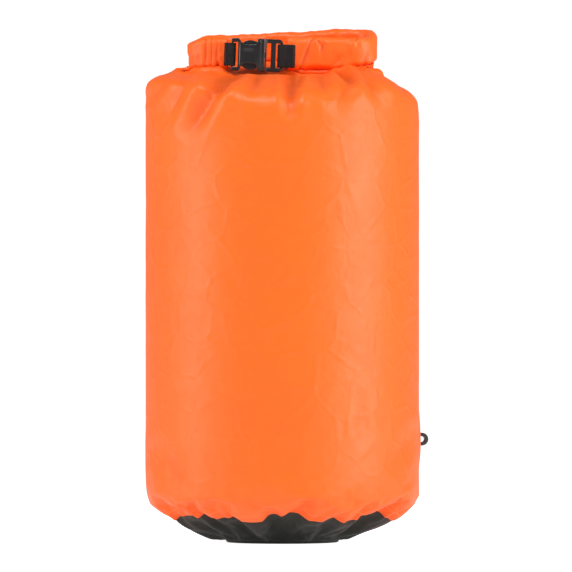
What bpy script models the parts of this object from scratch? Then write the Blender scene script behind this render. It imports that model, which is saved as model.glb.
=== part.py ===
"""Roll-top dry bag: a coated fabric tube on a dark bowl-shaped base, its mouth rolled up and curled round
to the front, where a side-release buckle joins the two ends. A screw valve low on the right lets air out.

Metres, +Z up. The origin is the centre of the base's resting face, and the front of the bag faces -Y.
"""

import math

import bmesh
import bpy
from mathutils import Matrix, Vector

MM = 0.001
FIT = 0.3 * MM  # gap kept between pieces that touch or are welded together

# Fabric tube
BAG_RADIUS = 120 * MM
WALL = 1.2 * MM
SEAM_RADIUS = 103 * MM  # outside of the tube at its lower edge
SEAM_HEIGHT = 17 * MM
BELLY_HEIGHT = 47 * MM  # where the wall reaches its full radius
SHOULDER_HEIGHT = 366 * MM  # where the wall starts to close
NECK_SIDE_HEIGHT = 410.5 * MM  # top of the neck at its two ends
NECK_RISE = 3 * MM  # how much higher the neck is at its middle
NECK_HALF_WIDTH = 75 * MM
NECK_GAP = 7 * MM  # clear space between the two fabric layers of the neck
NECK_CURL = 14 * MM  # how far the neck's ends bend forward
FRONT_DIP = 8 * MM  # how far the front of the shoulder sags below an even curve
RING_POINTS = 64

# Base
BASE_WALL = 1.5 * MM
BASE_FLAT_RADIUS = 52 * MM
BASE_LAP = 12 * MM  # how far the base reaches up inside the tube
TAPE_WIDTH = 18 * MM
TAPE_WALL = 0.6 * MM

# Rolled mouth: a flat spiral swept along a loop that is open at the front
LOOP_HALF_WIDTH = 77 * MM
LOOP_HALF_DEPTH = 22 * MM
LOOP_CORNER = 16 * MM
ROLL_HEIGHT = 29.5 * MM
ROLL_THICKNESS = 13 * MM
ROLL_PITCH = 2.0 * MM
ROLL_TURNS = 2
ROLL_FRONT_LEVEL = 426 * MM  # middle of the roll along the two front arms
ROLL_BACK_LEVEL = 432 * MM
ROLL_TILT = 0.045  # rise of the roll for each metre to the right
LEFT_TIP = -47.5 * MM
RIGHT_TIP = 4.5 * MM
STIFFENER_HEIGHT = 16 * MM
STIFFENER_THICKNESS = 1.0 * MM

# Side-release buckle for a 20 mm strap, in its own frame: x along the strap, y back, z up
BUCKLE_PLACE = Vector((-45.5 * MM, -30.5 * MM, 425 * MM))  # outer edge of the socket's end bar
BUCKLE_TILT = math.radians(2)
STRAP_WIDTH = 20 * MM
STRAP_THICKNESS = 1.2 * MM
SOCKET_LENGTH = 30.3 * MM
SOCKET_HEIGHT = 28.6 * MM
SOCKET_THICKNESS = 8 * MM
SOCKET_WALL = 1.4 * MM
END_BAR = 2.8 * MM
STRAP_SLOT = 4 * MM
BAR_THICKNESS = 2.4 * MM
NOTCH_START = 7.8 * MM
NOTCH_END = 24.4 * MM
UPPER_NOTCH_DEPTH = 5.2 * MM
LOWER_NOTCH_DEPTH = 6.6 * MM
PLUG_LENGTH = 15.5 * MM  # of the plug's frame, outside the socket
PLUG_THICKNESS = 4.4 * MM
PLUG_FACE = 1.3 * MM
PLUG_RAIL = 2.6 * MM
LADDER_SLOT = 3.6 * MM
LADDER_BAR = 4.4 * MM
OUTER_BAR = 2.6 * MM
BUCKLE_FIT = 0.6 * MM  # play of the prongs and tongue inside the socket
TONGUE_HEIGHT = 4.2 * MM
HOLLOW_START = END_BAR + STRAP_SLOT + SOCKET_WALL
PRONG_GAP = 0.4 * MM
PRONG_ARM = 3 * MM
PRONG_MIDDLE = 7.7 * MM  # height of a prong's arm above the buckle's middle
PRONG_CATCH = 1.8 * MM  # how far a prong's head stands behind the socket's ear
PAD_CROWN = 1.4 * MM  # how far the pad that is pressed stands above that
PRONG_PLAY = 1.0 * MM
TAB_LAP = 8 * MM  # how far a strap end lies on the roll, past its tip

# Air-release valve, in its own frame: z along the valve's axis, out of the bag
VALVE_HEIGHT = 89.5 * MM
VALVE_TURN = math.radians(12)  # how far behind the right side it sits
SEAT_RADIUS = 15 * MM
SEAT_DEPTH = 9 * MM
COLLAR_WIDTH = 2.5 * MM
FLANGE_RADIUS = 21 * MM
AIRWAY_RADIUS = 8 * MM
KNOB_RADIUS = 11 * MM
KNOB_THICKNESS = 1.6 * MM
KNOB_TOP = 0.4 * MM
SEAL_SECTION = 0.75 * MM
STEM_RADIUS = 1.8 * MM
GRIP_WIDTH = 11.3 * MM
GRIP_HEIGHT = 10.3 * MM
GRIP_THICKNESS = 5.5 * MM
GRIP_BAR = 3.1 * MM
GUIDE_THICKNESS = 1.6 * MM
VALVE_LIFT = 2 * MM  # how far half a turn raises the knob

COLOURS = {
    "orange_fabric": ((0.95, 0.20, 0.03), 0.45),
    "dark_fabric": ((0.03, 0.033, 0.028), 0.55),
    "seam_tape": ((0.75, 0.72, 0.68), 0.5),
    "strap": ((0.012, 0.012, 0.013), 0.8),
    "thread": ((0.015, 0.015, 0.016), 0.7),
    "stiff_strip": ((0.02, 0.02, 0.022), 0.5),
    "buckle_plastic": ((0.035, 0.035, 0.037), 0.42),
    "valve_plastic": ((0.02, 0.018, 0.017), 0.4),
    "soft_flange": ((0.05, 0.05, 0.05), 0.6),
    "seal_rubber": ((0.01, 0.01, 0.01), 0.75),
}


# Scene helpers


def clear_scene():
    for thing in list(bpy.data.objects):
        bpy.data.objects.remove(thing)


def collection(name, shown=True):
    made = bpy.data.collections.new(name)
    made.hide_render = not shown
    bpy.context.scene.collection.children.link(made)
    return made


def material(name):
    colour, roughness = COLOURS[name]
    made = bpy.data.materials.get(name)
    if made:
        return made
    made = bpy.data.materials.new(name)
    made.use_nodes = True
    shader = made.node_tree.nodes["Principled BSDF"]
    shader.inputs["Base Color"].default_value = (*colour, 1)
    shader.inputs["Roughness"].default_value = roughness
    shader.inputs["Metallic"].default_value = 0
    return made


def add_part(name, mesh, finish, parent=None):
    """A piece from a mesh that is written in its parent's frame."""
    made = bpy.data.objects.new(name, mesh)
    made.data.materials.clear()
    made.data.materials.append(material(finish))
    made.data.shade_smooth()
    made.data.set_sharp_from_angle(angle=math.radians(35))
    made.parent = parent
    BAG.objects.link(made)
    return made


def add_empty(name, matrix, parent=None):
    made = bpy.data.objects.new(name, None)
    made.empty_display_size = 0.01
    made.parent = parent
    made.matrix_local = matrix
    BAG.objects.link(made)
    return made


def mesh_from(bm, name):
    bmesh.ops.recalc_face_normals(bm, faces=bm.faces)
    made = bpy.data.meshes.new(name)
    bm.to_mesh(made)
    bm.free()
    return made


def evaluated_mesh(thing, weld=0.00001):
    """The object's mesh with its modifiers or curve settings worked out, its caps welded on."""
    graph = bpy.context.evaluated_depsgraph_get()
    graph.update()
    bm = bmesh.new()
    bm.from_mesh(bpy.data.meshes.new_from_object(thing.evaluated_get(graph)))
    bmesh.ops.remove_doubles(bm, verts=bm.verts, dist=weld)
    return mesh_from(bm, thing.name)


def boolean(target, cutter, operation="DIFFERENCE"):
    """Cuts or joins a helper, which goes to the cutters' collection."""
    cutter.hide_render = True
    cutter.display_type = "WIRE"
    cutter.parent = target.parent
    for home in list(cutter.users_collection):
        home.objects.unlink(cutter)
    CUTTERS.objects.link(cutter)
    step = target.modifiers.new(operation.lower(), "BOOLEAN")
    step.operation = operation
    step.solver = "EXACT"
    step.object = cutter


def helper(mesh):
    made = bpy.data.objects.new("cutter_" + mesh.name, mesh)
    bpy.context.scene.collection.objects.link(made)
    return made


# Shapes


def box_mesh(name, low, high):
    low, high = Vector(low), Vector(high)
    bm = bmesh.new()
    bmesh.ops.create_cube(bm, size=1)
    size = Matrix.Diagonal((*(high - low), 1))
    bmesh.ops.transform(bm, matrix=Matrix.Translation((low + high) / 2) @ size, verts=bm.verts)
    return mesh_from(bm, name)


def rod_mesh(name, radius, bottom, top, segments=32):
    bm = bmesh.new()
    bmesh.ops.create_cone(
        bm, cap_ends=True, segments=segments, radius1=radius, radius2=radius, depth=top - bottom
    )
    bmesh.ops.translate(bm, vec=(0, 0, (bottom + top) / 2), verts=bm.verts)
    return mesh_from(bm, name)


def turned_mesh(name, profile, segments=48, closed=False):
    """A profile of (radius, height) points turned about Z. It runs down its outer side."""
    bm = bmesh.new()
    points = [bm.verts.new((radius, 0, height)) for radius, height in profile]
    for start, end in zip(points, points[1:]):
        bm.edges.new((start, end))
    if closed:
        bm.edges.new((points[-1], points[0]))
    made = bpy.data.meshes.new(name)
    bm.to_mesh(made)
    bm.free()
    spun = helper(made)
    screw = spun.modifiers.new("turn", "SCREW")
    screw.steps = segments
    screw.render_steps = segments
    screw.use_merge_vertices = True
    screw.merge_threshold = 0.00001
    result = evaluated_mesh(spun)
    bpy.data.objects.remove(spun)
    return result


def curve_object(name, loops, dimensions, cyclic=True):
    data = bpy.data.curves.new(name, "CURVE")
    data.dimensions = dimensions
    for points in loops:
        spline = data.splines.new("POLY")
        spline.points.add(len(points) - 1)
        for place, point in zip(spline.points, points):
            place.co = (*point, *(0,) * (3 - len(point)), 1)
        spline.use_cyclic_u = cyclic
    made = bpy.data.objects.new(name, data)
    bpy.context.scene.collection.objects.link(made)
    return made


def mesh_of_curve(thing):
    result = evaluated_mesh(thing)
    bpy.data.objects.remove(thing)
    return result


def plate_mesh(name, loops, thickness, bevel=0.0):
    """Flat outlines in x and z, with holes, as a plate centred on y = 0."""
    flat = curve_object(name, loops, "2D")
    flat.data.fill_mode = "BOTH"
    flat.data.extrude = thickness / 2
    mesh = mesh_of_curve(flat)
    mesh.transform(Matrix.Rotation(math.radians(90), 4, "X"))
    if not bevel:
        return mesh
    rounded = helper(mesh)
    edge = rounded.modifiers.new("edges", "BEVEL")
    edge.width = bevel
    edge.segments = 2
    edge.limit_method = "ANGLE"
    edge.angle_limit = math.radians(50)
    result = evaluated_mesh(rounded)
    bpy.data.objects.remove(rounded)
    return result


def swept_mesh(name, path, section):
    """A closed section of (across, up) points carried along a path, upright all the way."""
    outline = curve_object(name + "_section", [section], "2D")
    rail = curve_object(name, [path], "3D", cyclic=False)
    rail.data.twist_mode = "Z_UP"
    rail.data.bevel_mode = "OBJECT"
    rail.data.bevel_object = outline
    rail.data.use_fill_caps = True
    mesh = mesh_of_curve(rail)
    bpy.data.objects.remove(outline)
    return mesh


def ribbon_mesh(name, path, width, thickness):
    """A strap on edge: a path in x and y, as wide as width along z."""
    strip = curve_object(name, [path], "2D", cyclic=False)
    strip.data.fill_mode = "NONE"
    strip.data.extrude = width / 2
    sheet = helper(mesh_of_curve(strip))
    solid = sheet.modifiers.new("thickness", "SOLIDIFY")
    solid.thickness = thickness
    solid.offset = 0
    solid.use_even_offset = True
    result = evaluated_mesh(sheet)
    bpy.data.objects.remove(sheet)
    return result


def arc(centre, radius, start, end, steps):
    """Points along an arc in a plane, from one angle in degrees to another."""
    angles = [math.radians(start + (end - start) * i / steps) for i in range(steps + 1)]
    return [(centre[0] + radius * math.cos(a), centre[1] + radius * math.sin(a)) for a in angles]


def smooth(t):
    return t * t * (3 - 2 * t)


# Fabric tube


def tube_ring(height_share, inset):
    """One ring of the neck's loft, from the round wall at share 0 to the flat neck at share 1."""
    closing = 1 - math.cos(height_share * math.pi / 2)
    lift = math.sin(height_share * math.pi / 2)
    ring = []
    for i in range(RING_POINTS):
        angle = 2 * math.pi * i / RING_POINTS
        along, across = math.cos(angle), math.sin(angle)
        radius = BAG_RADIUS - inset
        half_gap = NECK_GAP / 2 + WALL - inset
        neck_x = (NECK_HALF_WIDTH - 2 * inset) * along
        neck_y = LOOP_HALF_DEPTH - NECK_CURL * along**4
        neck_y += math.copysign(half_gap * (1 - (1 - abs(across)) ** 4), across)
        neck_z = NECK_SIDE_HEIGHT + NECK_RISE * (1 - along**4) - inset
        sag = 4 * FRONT_DIP * closing * (1 - closing) * max(0.0, -across)
        ring.append(
            (
                radius * along * (1 - closing**1.4) + neck_x * closing**1.4,
                radius * across * (1 - closing) + neck_y * closing,
                SHOULDER_HEIGHT + (neck_z - SHOULDER_HEIGHT) * lift - sag,
            )
        )
    return ring


def round_ring(radius, height):
    angles = [2 * math.pi * i / RING_POINTS for i in range(RING_POINTS)]
    return [(radius * math.cos(a), radius * math.sin(a), height) for a in angles]


def lower_profile():
    """Outside of the tube from its lower edge up to the full radius, as (radius, height)."""
    steps = 6
    points = []
    for i in range(steps + 1):
        turn = math.pi / 2 * i / steps
        points.append(
            (
                SEAM_RADIUS + (BAG_RADIUS - SEAM_RADIUS) * math.sin(turn),
                SEAM_HEIGHT + (BELLY_HEIGHT - SEAM_HEIGHT) * (1 - math.cos(turn)),
            )
        )
    return points


def tube_side(inset):
    rings = [round_ring(radius - inset, height) for radius, height in lower_profile()]
    shoulder_steps = 9
    rings += [tube_ring(i / shoulder_steps, inset) for i in range(shoulder_steps + 1)]
    return rings + [[(x, y, z + FIT + inset) for x, y, z in rings[-1]]]


def build_body_shell():
    """A loft between the round wall and the flat, curled neck, open at both ends, with a real wall."""
    bm = bmesh.new()
    sides = [[[bm.verts.new(p) for p in ring] for ring in tube_side(inset)] for inset in (0, WALL)]
    for rings in sides:
        for lower, upper in zip(rings, rings[1:]):
            join_rings(bm, lower, upper)
    for end in (0, -1):
        join_rings(bm, sides[0][end], sides[1][end])
    shell = add_part("body_shell", mesh_from(bm, "body_shell"), "orange_fabric")
    hole = helper(rod_mesh("valve_hole", SEAT_RADIUS + FIT, -SEAT_DEPTH, SEAT_DEPTH, 40))
    boolean(shell, hole)
    hole.matrix_world = VALVE_MATRIX


def join_rings(bm, first, second):
    for i in range(len(first)):
        j = (i + 1) % len(first)
        bm.faces.new((first[i], first[j], second[j], second[i]))


def build_base():
    """A bowl whose rim laps inside the tube's lower edge, and the tape that seals the seam."""
    rim_radius = SEAM_RADIUS - WALL - FIT
    lean = math.hypot(rim_radius - BASE_FLAT_RADIUS, SEAM_HEIGHT)
    outside = [(rim_radius, SEAM_HEIGHT + BASE_LAP)]
    steps = 8
    for i in range(steps + 1):
        turn = math.pi / 2 * i / steps
        outside.append(
            (
                BASE_FLAT_RADIUS + (rim_radius - BASE_FLAT_RADIUS) * math.cos(turn),
                SEAM_HEIGHT * (1 - math.sin(turn)),
            )
        )
    drop = BASE_WALL * lean / (rim_radius - BASE_FLAT_RADIUS)
    inside = [(max(0.0, radius - BASE_WALL), height + drop) for radius, height in outside[1:]]
    profile = outside + [(0, 0), (0, drop)] + inside[::-1]
    profile += [(rim_radius - BASE_WALL, SEAM_HEIGHT + BASE_LAP)]
    add_part("base_panel", turned_mesh("base_panel", profile + [profile[0]], RING_POINTS), "dark_fabric")

    tape_outer = rim_radius - BASE_WALL - FIT
    top = SEAM_HEIGHT + BASE_LAP
    low = top - TAPE_WIDTH / 2
    ring = [(tape_outer, top), (tape_outer, low), (tape_outer - TAPE_WALL, low), (tape_outer - TAPE_WALL, top)]
    add_part("base_seam_tape", turned_mesh("base_seam_tape", ring, RING_POINTS, closed=True), "seam_tape")


def build_side_seam():
    """The tape that seals the tube's upright seam, inside its back."""
    radius = BAG_RADIUS - WALL - FIT - TAPE_WALL / 2 - polygon_sag(BAG_RADIUS)
    half = math.degrees(TAPE_WIDTH / 2 / radius)
    low, high = BELLY_HEIGHT, SHOULDER_HEIGHT
    path = arc((0, 0), radius, 90 - half, 90 + half, 4)
    mesh = ribbon_mesh("side_seam_tape", path, high - low, TAPE_WALL)
    mesh.transform(Matrix.Translation((0, 0, (low + high) / 2)))
    add_part("side_seam_tape", mesh, "seam_tape")


def polygon_sag(radius):
    """How far a flat facet of a ring lies inside its circle."""
    return radius * (1 - math.cos(math.pi / RING_POINTS))


# Rolled mouth


def loop_point(x, y):
    """Lifts a point of the loop's plan to the roll's middle height there."""
    back = smooth(min(1.0, max(0.0, (y + LOOP_HALF_DEPTH) / (2 * LOOP_HALF_DEPTH))))
    level = ROLL_FRONT_LEVEL + (ROLL_BACK_LEVEL - ROLL_FRONT_LEVEL) * back
    return (x, y, level + ROLL_TILT * x * back)


def corner(side, front):
    """The plan of one corner of the loop, from the front or back run to the side run."""
    centre = (side * (LOOP_HALF_WIDTH - LOOP_CORNER), front * (LOOP_HALF_DEPTH - LOOP_CORNER))
    start = 90 * front
    end = 0 if side > 0 else 180 * front
    return arc(centre, LOOP_CORNER, start, end, 5)


def run(start, end, steps):
    return [start + (end - start) * i / steps for i in range(steps + 1)]


def left_plan():
    """Left arm, left end, back run and the rear half of the right end."""
    straight = LOOP_HALF_WIDTH - LOOP_CORNER
    plan = [(LEFT_TIP, -LOOP_HALF_DEPTH)]
    plan += corner(-1, -1) + corner(-1, 1)[::-1]
    plan += [(x, LOOP_HALF_DEPTH) for x in run(-straight, straight, 6)[1:-1]]
    plan += corner(1, 1)
    return plan + [(LOOP_HALF_WIDTH, FIT)]


def right_plan():
    straight = LOOP_HALF_WIDTH - LOOP_CORNER
    plan = [(LOOP_HALF_WIDTH, -FIT)] + corner(1, -1)[::-1]
    return plan + [(x, -LOOP_HALF_DEPTH) for x in run(straight, RIGHT_TIP, 3)[1:]]


def spiral_section():
    """The mouth rolled up flat: a spiral of constant pitch about two centres, one above the other."""
    wall = WALL / 2
    half_run = (ROLL_HEIGHT - ROLL_THICKNESS) / 2
    steps = 12 * ROLL_TURNS
    sides = {-1: [], 1: []}
    for i in range(steps + 1):
        angle = 2 * math.pi * i / 12
        radius = ROLL_THICKNESS / 2 - wall - ROLL_PITCH * i / 12
        for side, points in sides.items():
            up = math.sin(angle)
            shift = half_run if i % 12 < 6 or (i == steps) else -half_run
            if i % 6 == 0:
                shift = half_run if i % 12 == 0 else -half_run
                other = -shift
                points.append(((radius + side * wall) * math.cos(angle), other))
            points.append(((radius + side * wall) * math.cos(angle), (radius + side * wall) * up + shift))
    return sides[1] + sides[-1][::-1]


def build_roll():
    section = spiral_section()
    strip_half = (STIFFENER_THICKNESS / 2, STIFFENER_HEIGHT / 2)
    strip = [(-strip_half[0], -strip_half[1]), (strip_half[0], -strip_half[1])]
    strip += [(strip_half[0], strip_half[1]), (-strip_half[0], strip_half[1])]
    for suffix, plan in (("", left_plan()), ("_right_arm", right_plan())):
        path = [loop_point(x, y) for x, y in plan]
        parent = RELEASE if suffix else None
        roll = swept_mesh("rolled_mouth" + suffix, path, section)
        core = swept_mesh("mouth_stiffener" + suffix, path, strip)
        for name, mesh, finish in (
            ("rolled_mouth" + suffix, roll, "orange_fabric"),
            ("mouth_stiffener" + suffix, core, "stiff_strip"),
        ):
            if parent:
                mesh.transform(parent.matrix_world.inverted())
            add_part(name, mesh, finish, parent)


# Buckle


def socket_edge(level, depth):
    """The socket's outline above the middle, right to left, with the notch that bares a prong's head."""
    points = [(SOCKET_LENGTH, level)]
    for share, dip in ((0.02, 0), (0.04, 0.55), (0.14, 0.92), (0.45, 1), (0.74, 0.93), (0.9, 0.6), (1, 0)):
        x = NOTCH_END + (NOTCH_START - NOTCH_END) * share
        points.append((x, level - depth * dip))
    return points + [(SOCKET_LENGTH * 0.04, level * 0.97)]


def build_socket():
    half = SOCKET_HEIGHT / 2
    lower = socket_edge(half, LOWER_NOTCH_DEPTH)
    outline = socket_edge(half, UPPER_NOTCH_DEPTH) + [(x, -z) for x, z in reversed(lower)]
    mesh = plate_mesh("buckle_socket", [outline], SOCKET_THICKNESS, 0.5 * MM)
    socket = add_part("buckle_socket", mesh, "buckle_plastic", BUCKLE)
    slot_half = STRAP_WIDTH / 2 + 0.8 * MM
    thick = SOCKET_THICKNESS
    mouth_half = PRONG_MIDDLE + PRONG_ARM / 2 + BUCKLE_FIT
    cavity_half = SOCKET_THICKNESS / 2 - SOCKET_WALL
    side_half = half - 2.8 * MM
    bar_half = slot_half + 0.3 * MM
    for name, low, high in (
        ("strap_slot", (END_BAR, -thick, -slot_half), (END_BAR + STRAP_SLOT, thick, slot_half)),
        ("bar_front", (-thick, -thick, -bar_half), (END_BAR + MM, -BAR_THICKNESS / 2, bar_half)),
        ("bar_back", (-thick, BAR_THICKNESS / 2, -bar_half), (END_BAR + MM, thick, bar_half)),
    ):
        boolean(socket, helper(box_mesh(name, low, high)))
    past = SOCKET_LENGTH + MM
    hollow = [(HOLLOW_START, side_half), (NOTCH_END, side_half), (NOTCH_END, mouth_half), (past, mouth_half)]
    hollow += [(x, -z) for x, z in reversed(hollow)]
    boolean(socket, helper(plate_mesh("hollow", [hollow], 2 * cavity_half)))


def build_plug():
    """The ladder frame with its guide tongue, and the two prongs that flex from its face."""
    start = SOCKET_LENGTH + FIT
    end = start + PLUG_LENGTH
    half = SOCKET_HEIGHT / 2
    slot_half = half - PLUG_RAIL - 1.0 * MM
    first = start + PLUG_FACE
    second = first + LADDER_SLOT + LADDER_BAR
    inside = start + 0.4 * MM
    outline = [(inside, -half), (end - 4 * MM, -half)] + arc((end - 4 * MM, -half + 4 * MM), 4 * MM, -90, 0, 4)[1:]
    outline += [(x, -z) for x, z in reversed(outline)]
    holes = [
        [(a, -slot_half), (b, -slot_half), (b, slot_half), (a, slot_half)]
        for a, b in ((first, first + LADDER_SLOT), (second, end - OUTER_BAR))
    ]
    frame = add_part(
        "buckle_plug", plate_mesh("buckle_plug", [outline, *holes], PLUG_THICKNESS, 0.4 * MM), "buckle_plastic", RELEASE
    )
    thin, bar_half, inside_slot = BAR_THICKNESS / 2, slot_half + 0.3 * MM, second + 0.9 * MM
    tongue = (TONGUE_HEIGHT / 2, SOCKET_THICKNESS / 2 - SOCKET_WALL - BUCKLE_FIT)
    deep = SOCKET_THICKNESS / 2
    tall = half + 0.3 * MM
    face = ((start, -deep, -tall), (first - 0.3 * MM, deep, tall))
    guide = ((HOLLOW_START + 2 * MM, -tongue[1], -tongue[0]), (start + 0.6 * MM, tongue[1], tongue[0]))
    for name, low, high in (
        ("outer_bar_front", (inside_slot, -thin - 5 * MM, -bar_half), (end + MM, -thin, bar_half)),
        ("outer_bar_back", (inside_slot, thin, -bar_half), (end + MM, thin + 5 * MM, bar_half)),
    ):
        boolean(frame, helper(box_mesh(name, low, high)))
    boolean(frame, helper(box_mesh("plug_face", *face)), "UNION")
    boolean(frame, helper(box_mesh("plug_tongue", *guide)), "UNION")
    for side, name in ((1, "upper_prong"), (-1, "lower_prong")):
        build_prong(name, side)


def build_prong(name, side):
    """A prong in its hinge's frame, whose origin is the root of its arm."""
    root = SOCKET_LENGTH + FIT - PRONG_GAP
    ear = NOTCH_END - PRONG_PLAY - root
    tip = HOLLOW_START + 1.4 * MM - root
    low, high = -PRONG_ARM / 2, PRONG_ARM / 2
    catch = high + BUCKLE_FIT + PRONG_CATCH
    outline = [(0, low), (0, high), (ear, high), (ear, catch)]
    for t in (0.15, 0.35, 0.55, 0.75, 0.9, 1):
        outline.append((ear + (tip - ear) * t, catch + PAD_CROWN * math.sin(math.pi * t) - 2.6 * MM * t**4))
    outline += [(tip, low + 0.6 * MM), (tip + 1.2 * MM, low)]
    outline = [(x, side * z) for x, z in outline]
    hinge = add_empty(name + "_hinge", Matrix.Translation((root, 0, side * PRONG_MIDDLE)), RELEASE)
    depth = SOCKET_THICKNESS - 2 * SOCKET_WALL - 2 * BUCKLE_FIT
    add_part(name, plate_mesh(name, [outline], depth, 0.3 * MM), "buckle_plastic", hinge)


def strap_path(bar_start, bar_end, end, inner):
    """A strap from its sewn end, round a bar and back, as x and y in the buckle's frame. inner is +1 where
    the strap turns at the bar's right side, and -1 at its left."""
    off_bar = BAR_THICKNESS / 2 + FIT + STRAP_THICKNESS / 2
    plies = (-0.4 * MM, 1.1 * MM)  # middles of the front and back ply where they lie on the roll
    turn_at, leave_at = (bar_end, bar_start) if inner > 0 else (bar_start, bar_end)
    leave = leave_at - inner * 0.5 * MM
    lead = leave_at - inner * 3 * MM
    wrap = [(turn_at + inner * (x - 0.4 * MM), y) for x, y in arc((0, 0), off_bar, -90, 90, 8)]
    front = [(end, plies[0]), (lead, plies[0]), (leave, -off_bar)]
    back = [(leave, off_bar), (lead, plies[1]), (end, plies[1])]
    return front + wrap + back


def build_straps():
    plug_end = SOCKET_LENGTH + FIT + PLUG_LENGTH
    left_end = LEFT_TIP - BUCKLE_PLACE.x - TAB_LAP * 0.4
    right_end = RIGHT_TIP - BUCKLE_PLACE.x + TAB_LAP * 0.85
    for side, path, parent in (
        ("left", strap_path(0, END_BAR, left_end, 1), BUCKLE),
        ("right", strap_path(plug_end - OUTER_BAR, plug_end, right_end, -1), RELEASE),
    ):
        name = "strap_tab_" + side
        mesh = ribbon_mesh(name, path, STRAP_WIDTH, STRAP_THICKNESS)
        add_part(name, mesh, "strap", parent)
        end = left_end if side == "left" else right_end
        inward = 1 if side == "left" else -1
        build_stitches("tab_stitching_" + side, end + inward * 1.3 * MM, parent)


def build_stitches(name, x, parent):
    """The bar tack that fixes a strap's end: one thread laid in a zigzag over its front ply."""
    count, reach, thread = 14, 0.8 * MM, 0.25 * MM
    face = -0.4 * MM - STRAP_THICKNESS / 2 - FIT - thread
    step = (STRAP_WIDTH - 3 * MM) / count
    path = [(x + reach * (-1) ** i, face, (i - count / 2) * step) for i in range(count + 1)]
    thread_curve = curve_object(name, [path], "3D", cyclic=False)
    thread_curve.data.bevel_depth = thread
    thread_curve.data.bevel_resolution = 1
    thread_curve.data.use_fill_caps = True
    add_part(name, mesh_of_curve(thread_curve), "thread", parent)


# Valve


def build_valve():
    seat_inner = KNOB_RADIUS + 0.5 * MM
    floor = KNOB_TOP - KNOB_THICKNESS - 2 * SEAL_SECTION - 2 * FIT
    collar_top = -4.6 * MM
    collar_radius = SEAT_RADIUS + COLLAR_WIDTH
    profile = [
        (SEAT_RADIUS, 0),
        (SEAT_RADIUS, collar_top),
        (collar_radius, collar_top),
        (collar_radius, collar_top - 1.4 * MM),
        (SEAT_RADIUS - 2 * MM, collar_top - 1.4 * MM),
        (SEAT_RADIUS - 3 * MM, -SEAT_DEPTH),
        (AIRWAY_RADIUS, -SEAT_DEPTH),
        (AIRWAY_RADIUS, floor),
        (seat_inner, floor),
        (seat_inner, 0),
    ]
    add_part("valve_seat", turned_mesh("valve_seat", profile, 40, closed=True), "valve_plastic", VALVE)

    guide = add_part(
        "valve_guide",
        rod_mesh("valve_guide", AIRWAY_RADIUS - FIT, -SEAT_DEPTH, -SEAT_DEPTH + GUIDE_THICKNESS, 40),
        "valve_plastic",
        VALVE,
    )
    boolean(guide, helper(rod_mesh("stem_bore", STEM_RADIUS + FIT, -2 * SEAT_DEPTH, 0, 24)))
    for i in range(6):
        port = rod_mesh(f"air_port_{i}", 1.6 * MM, -2 * SEAT_DEPTH, 0, 16)
        port.transform(Matrix.Rotation(math.radians(60 * i), 4, "Z") @ Matrix.Translation((5 * MM, 0, 0)))
        boolean(guide, helper(port))

    seal = [
        (KNOB_RADIUS - 1.4 * MM + SEAL_SECTION * math.cos(a), SEAL_SECTION * math.sin(a))
        for a in [-math.tau * i / 8 for i in range(8)]
    ]
    seal_mesh = turned_mesh("valve_seal", seal, 40, closed=True)
    seal_mesh.transform(Matrix.Translation((0, 0, floor + FIT + SEAL_SECTION)))
    add_part("valve_seal", seal_mesh, "seal_rubber", VALVE_MOVING)

    knob_bottom = KNOB_TOP - KNOB_THICKNESS
    knob = add_part(
        "valve_knob", rod_mesh("valve_knob", KNOB_RADIUS, knob_bottom, KNOB_TOP, 40), "valve_plastic", VALVE_MOVING
    )
    boolean(knob, helper(grip_mesh()), "UNION")
    groove = -SEAT_DEPTH - VALVE_LIFT - 1.4 * MM
    stem_end = groove - 0.6 * MM
    neck = STEM_RADIUS - 0.5 * MM
    stem = [(0, knob_bottom - FIT), (STEM_RADIUS, knob_bottom - FIT), (STEM_RADIUS, groove + MM), (neck, groove + MM)]
    stem += [(neck, groove), (STEM_RADIUS, groove), (STEM_RADIUS, stem_end), (0, stem_end)]
    add_part("valve_stem", turned_mesh("valve_stem", stem, 24), "valve_plastic", VALVE_MOVING)
    clip = [(3.4 * MM, groove + 0.8 * MM), (3.4 * MM, groove + 0.2 * MM)]
    clip += [(neck + FIT, groove + 0.2 * MM), (neck + FIT, groove + 0.8 * MM)]
    add_part("valve_clip", turned_mesh("valve_clip", clip, 24, closed=True), "valve_plastic", VALVE_MOVING)

    build_flange()


def grip_mesh():
    """The knob's upright grip: an arch with an eye through it."""
    half = GRIP_WIDTH / 2
    base = KNOB_TOP - 0.6 * MM
    eye_half = half - GRIP_BAR
    outline = [(-half, base), (half, base)] + arc((0, GRIP_HEIGHT - half), half, 0, 180, 10)
    eye = [(-eye_half, KNOB_TOP), (eye_half, KNOB_TOP)]
    eye += arc((0, GRIP_HEIGHT - GRIP_BAR - eye_half), eye_half, 0, 180, 8)
    return plate_mesh("grip", [outline, eye], GRIP_THICKNESS, 0.6 * MM)


def build_flange():
    """A ring cut from the round of the wall, welded to its inside round the seat."""
    outer = BAG_RADIUS - WALL - FIT - polygon_sag(BAG_RADIUS)
    angle = 1.4 * FLANGE_RADIUS / BAG_RADIUS
    path = arc((0, 0), outer - WALL / 2, math.degrees(-angle), math.degrees(angle), 12)
    sheet = ribbon_mesh("valve_flange", path, 3 * FLANGE_RADIUS, WALL)
    sheet.transform(Matrix.Translation((0, 0, VALVE_HEIGHT)))
    sheet.transform(Matrix.Rotation(VALVE_TURN, 4, "Z"))
    sheet.transform(VALVE_MATRIX.inverted())
    flange = add_part("valve_flange", sheet, "soft_flange", VALVE)
    inner, deep = SEAT_RADIUS + FIT, 0.03
    ring = [(FLANGE_RADIUS, deep), (FLANGE_RADIUS, -deep), (inner, -deep), (inner, deep)]
    boolean(flange, helper(turned_mesh("flange_ring", ring, 40, closed=True)), "INTERSECT")


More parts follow.
